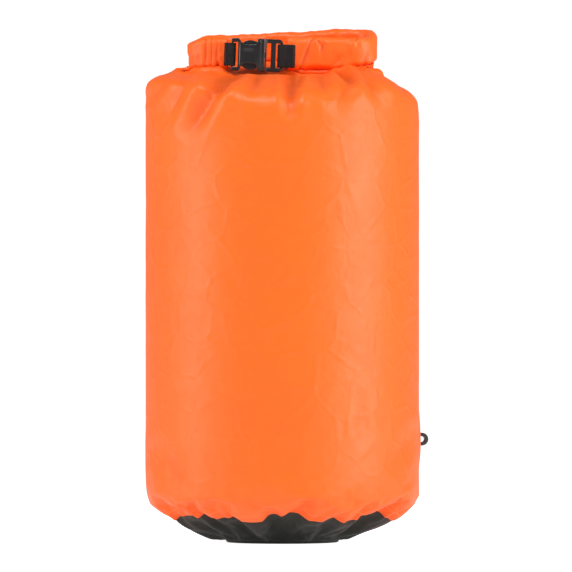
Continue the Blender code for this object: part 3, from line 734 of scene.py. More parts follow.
def webbing():
    made, n, skin, place = new_material("strap_webbing")
    g = groups()
    flat = cloth_place(n)
    split = n.add("ShaderNodeSeparateXYZ")
    n.join(flat, split.inputs[0])
    # ribs run across the strap, and threads climb over them in a herringbone
    across = n.math("ABSOLUTE", n.math("SUBTRACT", n.math("FRACT", n.math("MULTIPLY", split.outputs[1], 200.0)), 0.5))
    slope = n.math("ADD", n.math("MULTIPLY", split.outputs[0], 900.0), n.math("MULTIPLY", across, 2.4))
    threads = n.math("MULTIPLY_ADD", n.math("SINE", n.math("MULTIPLY", slope, 2 * math.pi)), 0.5, 0.5)
    fuzz = n.noise(place, 3800.0, 3.0)
    height = n.math("ADD", n.math("MULTIPLY", threads, 0.8), n.math("ADD", fuzz, n.math("MULTIPLY", across, 0.8)))
    tone = n.use(
        g["mottle"], Place=place, Colour=(0.004, 0.004, 0.0045, 1), Second=(0.010, 0.010, 0.011, 1),
        Scale=150.0, Amount=0.7,
    )
    worn = n.use(g["wear"], Place=place, Start=0.55, Amount=0.35)
    # painted highlight: the raised thread crests are coloured paler
    colour = n.mix(n.math("MULTIPLY", threads, 0.35), tone.outputs["Colour"], (0.016, 0.016, 0.018))
    colour = n.mix(worn.outputs["Mask"], colour, (0.045, 0.045, 0.048))
    n.join(colour, skin.inputs["Base Color"])
    n.join(n.math("MULTIPLY_ADD", fuzz, 0.15, 0.68), skin.inputs["Roughness"])
    n.join(bump(n, height, 0.5 * MM, 1.0), skin.inputs["Normal"])
    set_values(skin, Specular_IOR_Level=0.3, Sheen_Weight=0.02, Sheen_Roughness=0.5)
    return made


def moulded(name, dark, pale, roughness, coat=0.0, scale=2600.0, wear=0.35):
    made, n, skin, place = new_material(name)
    g = groups()
    tone = n.use(g["mottle"], Place=place, Colour=(*dark, 1), Second=(*pale, 1), Scale=90.0, Amount=0.6)
    skin_grain = n.use(g["grain"], Place=place, Scale=scale)
    worn = n.use(g["wear"], Place=place, Start=0.53, Amount=wear)
    dust = n.use(g["dust"], Place=place, Amount=0.02)
    colour = n.mix(worn.outputs["Mask"], tone.outputs["Colour"], tuple(min(1, 2.2 * c + 0.015) for c in pale))
    colour = n.mix(dust.outputs["Mask"], colour, (0.16, 0.16, 0.165))
    n.join(colour, skin.inputs["Base Color"])
    n.join(n.math("MULTIPLY_ADD", skin_grain.outputs["Sheen"], 0.16, roughness), skin.inputs["Roughness"])
    n.join(bump(n, skin_grain.outputs["Height"], 0.05 * MM, 0.6), skin.inputs["Normal"])
    set_values(skin, Coat_Weight=coat, Coat_Roughness=0.14)
    return made


def thread_finish():
    made, n, skin, place = new_material("sewing_thread")
    split = n.add("ShaderNodeSeparateXYZ")
    n.join(place, split.inputs[0])
    twist = n.math("SINE", n.math("MULTIPLY", n.math("ADD", split.outputs[0], split.outputs[2]), 14000.0))
    fuzz = n.noise(place, 5200.0, 3.0)
    colour = n.mix(fuzz, (0.008, 0.008, 0.009), (0.035, 0.035, 0.038))
    n.join(colour, skin.inputs["Base Color"])
    n.join(n.math("MULTIPLY_ADD", fuzz, 0.2, 0.5), skin.inputs["Roughness"])
    n.join(bump(n, n.math("ADD", twist, fuzz), 0.05 * MM, 0.8), skin.inputs["Normal"])
    return made


def tape_finish():
    made, n, skin, place = new_material("clear_seam_tape")
    g = groups()
    tone = n.use(
        g["mottle"], Place=place, Colour=(0.72, 0.69, 0.64, 1), Second=(0.60, 0.56, 0.50, 1), Scale=60.0, Amount=0.6
    )
    press = n.use(g["weave"], Place=place, Threads=700.0, Unevenness=0.2)
    n.join(tone.outputs["Colour"], skin.inputs["Base Color"])
    n.join(n.math("MULTIPLY_ADD", tone.outputs["Clouds"], 0.15, 0.28), skin.inputs["Roughness"])
    n.join(bump(n, press.outputs["Height"], 0.08 * MM, 0.6), skin.inputs["Normal"])
    set_values(skin, Coat_Weight=0.3)
    return made


# Bag


def upsampled(grid, cyclic):
    """A grid of points with one new point between each two, on a smooth curve, along its second axis."""
    if cyclic:
        before, after, far = np.roll(grid, 1, 1), np.roll(grid, -1, 1), np.roll(grid, -2, 1)
        between = (9 * (grid + after) - before - far) / 16
        made = np.empty((grid.shape[0], grid.shape[1] * 2, 3))
        made[:, 0::2], made[:, 1::2] = grid, between
        return made
    padded = np.concatenate((2 * grid[:, :1] - grid[:, 1:2], grid, 2 * grid[:, -1:] - grid[:, -2:-1]), axis=1)
    between = (9 * (padded[:, 1:-2] + padded[:, 2:-1]) - padded[:, :-3] - padded[:, 3:]) / 16
    made = np.empty((grid.shape[0], grid.shape[1] * 2 - 1, 3))
    made[:, 0::2], made[:, 1::2] = grid, between
    return made


def tube_normals(grid):
    around = np.roll(grid, -1, 1) - np.roll(grid, 1, 1)
    up = np.gradient(grid, axis=0)
    normal = np.cross(around, up)
    return normal / np.maximum(np.linalg.norm(normal, axis=2), 1e-12)[..., None]


def crease_depth(x, z, creases):
    """How deep a surface dips at each place in x and z: along each line a groove with raised shoulders."""
    total = np.zeros_like(x)
    for (x0, z0), (x1, z1), width, depth in creases:
        ax, az = (x1 - x0) * MM, (z1 - z0) * MM
        length = ax * ax + az * az
        t = ((x - x0 * MM) * ax + (z - z0 * MM) * az) / length
        inside = np.clip(t, 0, 1)
        away = np.hypot(x - x0 * MM - inside * ax, z - z0 * MM - inside * az) / (width * MM)
        fade = 0.35 + 0.65 * np.sin(np.pi * np.clip(inside, 0.04, 0.96)) ** 0.7
        total += 1.25 * depth * MM * fade * (np.exp(-1.1 * away**1.35) - 0.34 * np.exp(-((away - 1.7) ** 2) * 2.2))
    return total


SHOULDER_CREASES = (
    ((-36, 414), (-58, 393), 6.5, 5.0),
    ((-56, 396), (-78, 360), 8.0, 5.0),
    ((-51, 410), (-66, 404), 4.0, 2.0),
    ((9, 414), (5.8, 374), 6.5, 4.6),
    ((17, 414), (15.8, 398), 2.6, 2.6),
    ((44, 415), (61, 402), 4.0, 4.4),
    ((58, 404), (47, 380), 8.0, 2.4),
    ((-20, 412), (-26, 392), 5.0, 2.2),
    ((30, 412), (38, 388), 6.0, 2.4),
    ((68, 410), (86, 384), 6.0, 2.6),
    ((-84, 404), (-98, 372), 7.0, 2.4),
)
SIDE_CREASES = (
    ((-98, 404), (-114, 387), 5.0, 2.0),
    ((98, 405), (110, 390), 5.0, 1.8),
    ((68, 126), (70, 92), 6.0, 1.3),
    ((-102, 80), (-88, 52), 10.0, 2.0),
    ((96, 70), (112, 96), 8.0, 1.2),
)


def noise_field(points, scale, seed, kind="plain"):
    """Noise of one value for each point, between about -1 and 1."""
    flat = points.reshape(-1, 3) * scale + np.array((seed, 2.0 * seed, -seed))
    if kind == "ridges":
        values = [noise.ridged_multi_fractal(Vector(p), 0.9, 2.0, 3, 0.9, 2.0) - 1.0 for p in flat]
    else:
        values = [noise.fractal(Vector(p), 0.8, 2.0, 3) for p in flat]
    return np.array(values).reshape(points.shape[:-1])


def flatten_at_valve(grid):
    """The wall lies flat round the valve, where the stiff flange holds it."""
    axis = np.array(VALVE_AXIS)
    rel = grid - np.array(VALVE_PLACE)
    out = rel @ axis
    away = np.linalg.norm(rel - out[..., None] * axis, axis=-1)
    share = np.where(out > -40 * MM, 1 - smooth((away - 17 * MM) / (20 * MM)), 0)
    level = -0.9 * MM
    return grid + ((level - out) * share)[..., None] * axis, np.where(out > -40 * MM, away, 1.0)


def creased(tube):
    """How far the tube's cloth dips inwards along its creases, at each place."""
    front = smooth((-tube[..., 1] - 18 * MM) / (20 * MM))
    dip = front * crease_depth(tube[..., 0], tube[..., 2], SHOULDER_CREASES)
    return dip + (tube[..., 1] < 60 * MM) * crease_depth(tube[..., 0], tube[..., 2], SIDE_CREASES)


def under_buckle(tube):
    """The cloth in front of the roll lies lower where the buckle and its prongs pass over it."""
    x, y, z = (tube[..., i] for i in range(3))
    lowest = BUCKLE_PLACE[2] - 16.8 * MM - 0.035 * (x - BUCKLE_PLACE[0]) + 6 * MM * smooth((y + 26 * MM) / (4 * MM))
    across = smooth((x + 52 * MM) / (8 * MM)) * smooth((46 * MM - x) / (10 * MM)) * (y < -20 * MM)
    lower = tube.copy()
    lower[..., 2] -= np.maximum(z - lowest, 0) * across
    return lower


def make_bag(finishes):
    settled, cut, faces, rows = fill_bag()
    tube = settled[: rows * AROUND].reshape(rows, AROUND, 3)
    fine = upsampled(tube, True)
    fine = np.swapaxes(upsampled(np.swapaxes(fine, 0, 1), False), 0, 1)
    tube = tube - tube_normals(tube) * creased(tube)[..., None]
    settled[: rows * AROUND] = tube.reshape(-1, 3)
    settled[:, 2] = np.maximum(settled[:, 2], 0.0)

    dip = creased(fine)
    fine, away = flatten_at_valve(under_buckle(fine - tube_normals(fine) * dip[..., None]))
    normal = tube_normals(fine)
    soft = noise_field(fine, 26.0, 3.1) * 0.55 * MM
    crinkle = noise_field(fine, 55.0, 7.7, "ridges") * 0.35 * MM
    height = fine[..., 2]
    lively = 0.25 + 0.75 * smooth((height - 340 * MM) / (50 * MM)) + 0.5 * (1 - smooth(height / (60 * MM)))
    calm = smooth((away - 16 * MM) / (14 * MM))
    fine = fine + normal * ((soft + crinkle) * lively * calm)[..., None]
    fine[..., 2] = np.maximum(fine[..., 2], 1.2 * MM)
    hidden, _ = flatten_at_valve(under_buckle(upsampled(tube, True)[:, ::2]))
    inside = hidden - tube_normals(hidden) * CLOTH_WALL
    flat = cut[: rows * AROUND].reshape(rows, AROUND, 3)
    make_tube(fine, inside, flat, away, dip / (3.2 * MM), finishes["tube"])
    make_base(settled, cut, faces, rows, tube, finishes["base"])
    make_tapes(tube, finishes["tape"])


def make_tapes(tube, finish):
    """Welded tapes on the inside of the cloth: one round the base seam, one up the back."""
    inward = tube_normals(tube)
    ring = np.concatenate((tube[1:5], tube[1:5, :1]), axis=1)
    ring = ring - np.concatenate((inward[1:5], inward[1:5, :1]), axis=1) * 3.2 * MM
    middle = AROUND // 4
    strip = (tube - inward * 1.6 * MM)[8:-24, middle - 2 : middle + 3]
    for name, sheet, node in (("base_tape", ring, "base_seam_tape"), ("side_tape", strip, "side_seam_tape")):
        thing = helper(grid_mesh(name, sheet))
        wall = thing.modifiers.new("wall", "SOLIDIFY")
        wall.thickness = 0.4 * MM
        add_piece(name, finished_mesh(thing), finish, "bag", node, slot="seam_tape")


def make_tube(fine, inside, cut, away, fold, finish):
    """The tube as one closed wall: a fine outer side, a plainer inner side, and rims between them."""
    rows, columns = fine.shape[:2]
    low_rows, low_columns = inside.shape[:2]
    verts = np.vstack((fine.reshape(-1, 3), inside.reshape(-1, 3)))
    base = rows * columns
    coarse = np.concatenate((cut, cut[:, :1]), axis=1)[..., 2]
    up = np.empty((rows, columns + 1))
    wide = np.empty((coarse.shape[0], columns + 1))
    wide[:, 0::2] = coarse
    wide[:, 1::2] = (coarse[:, :-1] + coarse[:, 1:]) / 2
    up[0::2] = wide
    up[1::2] = (wide[:-1] + wide[1:]) / 2
    turn = 2 * np.pi * BAG_RADIUS / columns
    faces, places = [], []
    gone = away < VALVE_HOLE
    for j in range(rows - 1):
        for i in range(columns):
            k = (i + 1) % columns
            if gone[j, i] and gone[j, k] and gone[j + 1, i] and gone[j + 1, k]:
                continue
            faces.append((j * columns + i, j * columns + k, (j + 1) * columns + k, (j + 1) * columns + i))
            places += [
                (i * turn, up[j, i]), ((i + 1) * turn, up[j, i + 1]),
                ((i + 1) * turn, up[j + 1, i + 1]), (i * turn, up[j + 1, i]),
            ]
    for j in range(low_rows - 1):
        for i in range(low_columns):
            k = (i + 1) % low_columns
            if gone[2 * j, 2 * i] and gone[2 * j, (2 * i + 2) % columns] and gone[2 * j + 2, 2 * i]:
                if gone[2 * j + 2, (2 * i + 2) % columns]:
                    continue
            a, b = base + j * low_columns, base + (j + 1) * low_columns
            faces.append((b + i, b + k, a + k, a + i))
            places += [(0, 0)] * 4
    for row, low_row, flip in ((0, 0, True), (rows - 1, low_rows - 1, False)):
        for i in range(low_columns):
            o = [row * columns + (2 * i + n) % columns for n in range(3)]
            p = [base + low_row * low_columns + (i + n) % low_columns for n in range(2)]
            for face in ((o[0], o[1], p[0]), (o[1], p[1], p[0]), (o[1], o[2], p[1])):
                faces.append(face[::-1] if flip else face)
                places += [(0, 0)] * 3
    made = bpy.data.meshes.new("bag_body")
    made.from_pydata(verts.tolist(), [], faces)
    lay_flat(made, places)
    distance = np.concatenate((up[:, :-1].ravel(), cut[..., 2].ravel()))
    set_attribute(made, "from_seam", distance)
    # fold: the crease depth, which the finish paints as crease shade; the inner side gets none
    set_attribute(made, "fold", np.r_[fold.ravel(), np.zeros(inside.shape[0] * inside.shape[1])])
    clear = bmesh.new()
    clear.from_mesh(made)
    bmesh.ops.delete(clear, geom=[v for v in clear.verts if not v.link_faces], context="VERTS")
    clear.to_mesh(made)
    clear.free()
    add_piece("bag_body", made, finish, "bag", "body_shell", slot="orange_fabric")


def make_base(settled, cut, faces, rows, tube, finish):
    """The dark base: its rim goes up inside the tube, and it is a wall of its own."""
    inward = tube_normals(tube)
    first = rows * AROUND
    rim = tube[0] - inward[0] * CLOTH_WALL
    lap = tube[2] - inward[2] * 1.5 * MM
    lap_top = tube[3] - inward[3] * 1.7 * MM
    verts = np.vstack((rim, settled[first:], lap, lap_top))
    shift = first - AROUND

    def moved(index):
        return index if index < AROUND else index - shift

    shown = [tuple(moved(i) for i in face) for face in faces[(rows - 1) * AROUND :]]
    after = AROUND + len(settled) - first
    for i in range(AROUND):
        k = (i + 1) % AROUND
        shown.append((i, k, after + k, after + i))
        shown.append((after + i, after + k, after + AROUND + k, after + AROUND + i))
    made = bpy.data.meshes.new("bag_base")
    made.from_pydata(verts.tolist(), [], shown)
    flat = np.vstack((cut[:AROUND, :2], cut[first:, :2], cut[:AROUND, :2] * 1.08, cut[:AROUND, :2] * 1.13))
    lay_flat(made, flat[np.array([i for face in shown for i in face])])
    thing = helper(made)
    round_off = thing.modifiers.new("smooth", "SUBSURF")
    round_off.levels = round_off.render_levels = 1
    wall = thing.modifiers.new("wall", "SOLIDIFY")
    wall.thickness = 1.0 * MM
    wall.offset = -1
    result = finished_mesh(thing)
    place = read_points(result)
    place[:, 2] = np.maximum(place[:, 2], 0.0)
    result.vertices.foreach_set("co", place.ravel())
    add_piece("bag_base", result, finish, "bag", "base_panel", slot="dark_fabric")


# Rolled mouth


def rolled_section():
    """The rolled-up mouth from the neck inwards: across, up, and how it faces, for each point of the cloth."""
    half_run = (ROLL_HEIGHT - ROLL_THICKNESS) / 2
    turns = 2.25
    points = [(-0.6 * MM, -ROLL_HEIGHT / 2 - 1.0 * MM, -90.0)]
    per_turn = 40
    for i in range(int(turns * per_turn) + 1):
        angle = -90 + 360 * i / per_turn
        radius = ROLL_THICKNESS / 2 - 0.6 * MM - 1.9 * MM * i / per_turn
        up = math.sin(math.radians(angle))
        centre = half_run if up > 1e-6 else -half_run
        across = radius * math.cos(math.radians(angle))
        if abs(up) < 1e-6:
            order = (-half_run, half_run) if math.cos(math.radians(angle)) > 0 else (half_run, -half_run)
            for t in np.linspace(0, 1, 7):
                points.append((across, order[0] + (order[1] - order[0]) * t, angle))
        else:
            points.append((across, centre + radius * up, angle))
    return np.array(points)


ROLL_DEPTH = 1.7
ROLL_CREASES = (
    ((-66.5, 414), (-66, 441), 1.5, 0.9),
    ((-62, 413), (-61, 440), 1.4, 0.8),
    ((-57.5, 413), (-57, 438), 1.5, 0.7),
    ((-56, 409), (-55.5, 417), 1.8, 1.3),
    ((-80, 436), (-70, 440), 1.6, 0.9),
    ((-74, 415), (-72, 424), 1.8, 0.6),
    ((15.5, 413), (25, 436), 1.7, 1.0),
    ((25, 436), (30.5, 442), 1.7, 0.9),
    ((30.5, 438), (33, 433), 1.5, 1.0),
    ((36.5, 434), (33, 427), 1.5, 0.9),
    ((44, 415), (52, 424), 2.2, 0.6),
    ((59, 430), (65.5, 438), 2.0, -0.8),
    ((65.5, 441), (64.5, 435), 1.6, 1.2),
    ((48, 439), (62, 441), 1.4, 0.7),
    ((76, 444), (81, 441), 1.5, 0.8),
    ((70, 417), (76, 424), 1.8, 0.9),
)


def make_roll(finish):
    section = rolled_section()
    steps = 320
    length = np.linspace(0, LOOP_LENGTH, steps)
    plan, out = on_loop(length)
    level = roll_level(plan)
    points = np.empty((len(section), steps, 3))
    facing = np.empty((len(section), steps, 3))
    for j, (across, up, angle) in enumerate(section):
        turn = math.radians(angle)
        left = smooth((-plan[:, 0] - 62 * MM) / (22 * MM))
        right = smooth((plan[:, 0] - 48 * MM) / (26 * MM)) * smooth((10 * MM - plan[:, 1]) / (20 * MM))
        tall = np.where(up > 0, 1 - 0.42 * left, 1 - 0.34 * right)
        thin = 1 - 0.22 * left * (up < 0)
        points[j, :, :2] = plan + out * (across * thin)[:, None]
        points[j, :, 2] = level + up * tall
        facing[j, :, :2] = out * math.cos(turn)
        facing[j, :, 2] = math.sin(turn)
    # all the layers move together, so that they never cut into each other
    skin = np.empty_like(points)
    skin[..., :2] = plan[None] + facing[..., :2] * 6 * MM
    skin[..., 2] = level[None] + section[:, 1][:, None] * 0.8
    move = noise_field(skin, 34.0, 1.3) * 0.75 * MM + noise_field(skin, 75.0, 5.1, "ridges") * 0.6 * MM
    front = facing[..., 1] < -0.2
    dip = ROLL_DEPTH * np.where(front, crease_depth(points[..., 0], points[..., 2], ROLL_CREASES), 0)
    dip *= smooth((-plan[:, 1][None] + 10 * MM) / (10 * MM))
    pleat = 0.12 * MM * np.sin(length * 2 * np.pi / (11 * MM) + 2.0 * np.sin(length * 60))
    points += facing * (move + pleat - dip)[..., None]
    sway = noise_field(np.column_stack((length, length * 0, length * 0)), 25.0, 9.0) * 1.1 * MM
    points[..., 2] += sway[None]
    flat = np.empty((len(section), steps, 2))
    run = np.r_[0, np.cumsum(np.hypot(np.diff(section[:, 0]), np.diff(section[:, 1])))]
    flat[..., 0] = length[None]
    flat[..., 1] = run[:, None]
    sheet = grid_mesh("mouth_roll", points, flat)
    # painted shadow: the roll's lower front edge is coloured darker where it sits on the body, on top of the painted
    # crease shade
    shade = 0.35 * (1 - smooth((points[..., 2] - level[None] + 15.5 * MM) / (4 * MM))) * (facing[..., 1] < 0.1)
    set_attribute(sheet, "fold", (np.maximum(dip, 0) / (1.6 * MM) + shade).ravel())
    thing = helper(sheet)
    wall = thing.modifiers.new("wall", "SOLIDIFY")
    wall.thickness = CLOTH_WALL
    wall.offset = 0
    made = finished_mesh(thing)
    roll = add_piece("mouth_roll", made, finish, None, "rolled_mouth", "rolled_mouth_right_arm", slot="orange_fabric")
    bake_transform(roll)


# Straps


def strap_line(bar_start, bar_end, end, inner):
    """The strap's middle line in the buckle's frame, from its sewn end, round a bar and back."""
    off_bar = 1.2 * MM + 0.3 * MM + STRAP_THICKNESS / 2
    plies = (STRAP_PLY, 1.1 * MM)
    turn_at, leave_at = (bar_end, bar_start) if inner > 0 else (bar_start, bar_end)
    leave, lead = leave_at - inner * 0.5 * MM, leave_at - inner * 3 * MM
    bend = [math.radians(a) for a in np.linspace(-90, 90, 9)]
    wrap = [(turn_at + inner * (off_bar * math.cos(a) - 0.4 * MM), off_bar * math.sin(a)) for a in bend]
    front = [(end, plies[0]), (lead, plies[0]), (leave, -off_bar)]
    return np.array(front + wrap + [(leave, off_bar), (lead, plies[1]), (end, plies[1])])


def smooth_line(points, steps):
    """The line through the points with its corners eased, in even steps."""
    for _ in range(2):
        inner = np.column_stack((points[:-1] * 0.75 + points[1:] * 0.25, points[:-1] * 0.25 + points[1:] * 0.75))
        points = np.vstack((points[:1], inner.reshape(-1, 2), points[-1:]))
    length = np.r_[0, np.cumsum(np.linalg.norm(np.diff(points, axis=0), axis=1))]
    place = np.linspace(0, length[-1], steps)
    return np.column_stack([np.interp(place, length, points[:, i]) for i in (0, 1)]), place


def make_strap(name, line, body, node, finish):
    """A flat woven strap with soft edges and a pinked end."""
    middle, place = smooth_line(line, 90)
    along = np.gradient(middle, axis=0)
    along /= np.linalg.norm(along, axis=1)[:, None]
    normal = np.column_stack((along[:, 1], -along[:, 0]))
    half, thick = STRAP_WIDTH / 2, STRAP_THICKNESS / 2
    round_edge = np.linspace(-math.pi / 2, math.pi / 2, 7)
    edge = [(half - thick + thick * math.cos(a), thick * math.sin(a)) for a in round_edge]
    face = [(w, thick) for w in np.linspace(half - 2 * thick, -half + 2 * thick, 13)]
    ring = edge + face + [(-w, -t) for w, t in edge] + [(-w, -t) for w, t in face]
    rows = []
    for w, t in ring:
        tooth = 0.8 * MM * np.abs(((w / (2.5 * MM)) % 1.0) * 2 - 1)
        share = np.clip(1 - place / (3 * MM), 0, 1) + np.clip(1 - (place[-1] - place) / (3 * MM), 0, 1)
        inward = np.where(place < place[-1] / 2, 1.0, -1.0)
        moved = middle + along * (tooth * share * inward)[:, None]
        swell = 1 + 0.05 * np.sin(place / (1.6 * MM) * np.pi) * (abs(t) > 0.5 * thick)
        sides = [moved[:, k] + normal[:, k] * t * swell for k in (0, 1)]
        rows.append(np.column_stack((*sides, np.full(len(place), w))))
    grid = np.array(rows)
    flat = np.empty((*grid.shape[:2], 2))
    flat[..., 0] = place[None]
    flat[..., 1] = np.array([w for w, _ in ring])[:, None] + half
    grid = np.swapaxes(np.concatenate((grid, grid[:1])), 0, 1)
    flat = np.swapaxes(np.concatenate((flat, flat[:1])), 0, 1)
    made = grid_mesh(name, grid, flat)
    shape = bmesh.new()
    shape.from_mesh(made)
    bmesh.ops.remove_doubles(shape, verts=shape.verts, dist=0.001 * MM)
    ends = [e for e in shape.edges if e.is_boundary]
    bmesh.ops.holes_fill(shape, edges=ends, sides=0)
    bmesh.ops.recalc_face_normals(shape, faces=shape.faces)
    bmesh.ops.transform(shape, matrix=BUCKLE_MATRIX, verts=shape.verts)
    shape.to_mesh(made)
    shape.free()
    return add_piece(name, made, finish, body, node, slot="strap", sharp=60)


def stitch_tree(finish):
    """Bar tack: slanting stitches, each a little rounded bar, across a strap's end."""
    tree = bpy.data.node_groups.new("bar_tack", "GeometryNodeTree")
    face = tree.interface
    face.new_socket("Geometry", in_out="INPUT", socket_type="NodeSocketGeometry")
    sockets = {}
    for label, kind, value in (
        ("Stitches", "NodeSocketInt", 24), ("Pitch", "NodeSocketFloat", 0.7 * MM),
        ("Length", "NodeSocketFloat", 1.8 * MM), ("Thread", "NodeSocketFloat", 0.22 * MM),
        ("Slant", "NodeSocketFloat", 0.35),
    ):
        sockets[label] = face.new_socket(label, in_out="INPUT", socket_type=kind)
        sockets[label].default_value = value
    face.new_socket("Geometry", in_out="OUTPUT", socket_type="NodeSocketGeometry")
    n = Nodes(tree)
    given, out = n.add("NodeGroupInput").outputs, n.add("NodeGroupOutput")
    row, step = n.add("GeometryNodeMeshLine"), n.add("ShaderNodeCombineXYZ")
    n.join(given["Pitch"], step.inputs[2])
    n.join(given["Stitches"], row.inputs["Count"])
    n.join(step.outputs[0], row.inputs["Offset"])
    # every other stitch leans the other way
    sign = n.math("MULTIPLY_ADD", n.math("MODULO", n.add("GeometryNodeInputIndex").outputs[0], 2.0), 2.0, -1.0)
    lean = n.add("ShaderNodeCombineXYZ")
    n.join(n.math("MULTIPLY", sign, given["Slant"]), lean.inputs[1])
    bead = n.add("GeometryNodeMeshUVSphere")
    set_values(bead, Segments=6, Rings=5, Radius=1)
    size = n.add("ShaderNodeCombineXYZ")
    n.join(n.math("MULTIPLY", given["Length"], 0.5), size.inputs[0])
    for k in (1, 2):
        n.join(given["Thread"], size.inputs[k])
    place = n.add("GeometryNodeInstanceOnPoints")
    for source, label in ((row, "Points"), (bead, "Instance"), (lean, "Rotation"), (size, "Scale")):
        n.join(source.outputs[0], place.inputs[label])
    real, dress = n.add("GeometryNodeRealizeInstances"), n.add("GeometryNodeSetMaterial")
    dress.inputs["Material"].default_value = finish
    n.join(place.outputs[0], real.inputs[0])
    n.join(real.outputs[0], dress.inputs[0])
    n.join(dress.outputs[0], out.inputs[0])
    return tree, {label: socket.identifier for label, socket in sockets.items()}


def make_stitches(name, x, body, node, tree, inputs, finish):
    count = 26
    pitch = (STRAP_WIDTH - 2 * MM) / (count - 1)
    thing = helper(bpy.data.meshes.new(name))
    step = thing.modifiers.new("stitches", "NODES")
    step.node_group = tree
    for label, value in (("Stitches", count), ("Pitch", pitch), ("Length", 1.9 * MM), ("Thread", 0.26 * MM)):
        step[inputs[label]] = value
    made = finished_mesh(thing)
    face = STRAP_PLY - STRAP_THICKNESS / 2 - 0.12 * MM
    made.transform(BUCKLE_MATRIX @ Matrix.Translation((x, face, -pitch * (count - 1) / 2)))
    return add_piece(name, made, finish, body, node, slot="thread")


def make_straps(finishes):
    plug_end = SOCKET_LENGTH + FIT + PLUG_LENGTH
    left_end = LEFT_TIP - BUCKLE_PLACE.x - 3.2 * MM
    right_end = RIGHT_TIP - BUCKLE_PLACE.x + 6.8 * MM
    tree, inputs = stitch_tree(finishes["thread"])
    for side, line, body, end, inward in (
        ("left", strap_line(0, END_BAR, left_end, 1), "bag", left_end, 1),
        ("right", strap_line(plug_end - OUTER_BAR, plug_end, right_end, -1), "plug_side", right_end, -1),
    ):
        make_strap("strap_" + side, line, body, "strap_tab_" + side, finishes["strap"])
        tack, node = "bar_tack_" + side, "tab_stitching_" + side
        make_stitches(tack, end + inward * 1.6 * MM, body, node, tree, inputs, finishes["thread"])


def moulded_copy(node, voxel, rounds, shape=None):
    """A moulded piece: the CAD node's shape with its edges and corners eased as a mould leaves them."""
    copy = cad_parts[node].data.copy()
    merged = bmesh.new()
    merged.from_mesh(copy)
    bmesh.ops.remove_doubles(merged, verts=merged.verts, dist=0.01 * MM)
    merged.to_mesh(copy)
    merged.free()
    copy.materials.clear()
    thing = helper(copy)
    remesh = thing.modifiers.new("skin", "REMESH")
    remesh.mode = "VOXEL"
    remesh.voxel_size = voxel
    ease = thing.modifiers.new("ease", "SMOOTH")
    ease.factor = 0.5
    ease.iterations = rounds
    made = finished_mesh(thing)
    made.name = node + "_moulded"
    if shape:
        place = shape(read_points(made), read_points(made, "normal"))
        made.vertices.foreach_set("co", place.ravel())
        made.update()
    return made


def in_buckle(place):
    """Places in the buckle's own frame, in millimetres."""
    back = np.array(BUCKLE_MATRIX.inverted())
    return (place @ back[:3, :3].T + back[:3, 3]) / MM


def socket_face(place, normal):
    """The socket's front and back swell between its ears, with a dished panel and a raised lip at its mouth."""
    x, y, z = in_buckle(place).T
    through = np.array(BUCKLE_MATRIX)[:3, 1]
    facing = normal @ through
    body = smooth((x - 7.4) / 2.5)
    swell = 0.75 * body * (1 - np.clip(np.abs(z) / 13.5, 0, 1) ** 2.2)
    dish = -0.55 * np.exp(-(((x - 16) / 5.2) ** 4) - ((z / 5.0) ** 4))
    lip = 0.35 * np.exp(-(((x - 28.6) / 1.1) ** 2)) - 0.35 * np.exp(-(((x - 26.6) / 0.5) ** 2))
    step = -0.3 * np.exp(-(((x - 8.0) / 0.5) ** 2))
    # only the outside is shaped, because the prongs need the room inside
    outer = smooth((np.abs(y) - 2.9) / 0.7) * smooth((np.abs(facing) - 0.5) / 0.4)
    moved = (swell + dish + lip + step) * MM * outer * np.where(facing > 0, 1.0, -1.0)
    return place + moved[:, None] * through


def prong_face(place, normal):
    """The pad that is pressed has fine grip ribs."""
    x = in_buckle(place)[:, 0]
    upright = np.abs(normal[:, 2])
    rib = 0.16 * MM * np.sin(x * 2 * np.pi / 1.5) * smooth((upright - 0.6) / 0.3) * (x < 24) * (x > 10)
    return place + normal * rib[:, None]


MOULDED = (
    ("buckle_socket", "bag", 0.24, 5, socket_face, "buckle", "buckle_plastic"),
    ("buckle_plug", "plug_side", 0.24, 4, None, "buckle", "buckle_plastic"),
    ("upper_prong", "upper_prong", 0.2, 4, prong_face, "buckle", "buckle_plastic"),
    ("lower_prong", "lower_prong", 0.2, 4, prong_face, "buckle", "buckle_plastic"),
    ("valve_seat", "bag", 0.3, 3, None, "valve", "valve_plastic"),
    ("valve_knob", "valve_knob", 0.22, 4, None, "valve", "valve_plastic"),
)


def make_moulded(finishes):
    for node, body, voxel, rounds, shape, finish, slot in MOULDED:
        mesh = moulded_copy(node, voxel * MM, rounds, shape)
        add_piece(node + "_moulded", mesh, finishes[finish], body, node, slot=slot)


def dress_nodes(finishes):
    """Finishes for the CAD's own pieces that stay as they are."""
    kept = {
        "valve": ("valve_guide", "valve_stem", "valve_clip"),
        "strip": ("mouth_stiffener", "mouth_stiffener_right_arm"),
        "flange": ("valve_flange",),
        "rubber": ("valve_seal",),
    }
    for finish, names in kept.items():
        for name in names:
            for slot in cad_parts[name].material_slots:
                slot.material = finishes[finish]


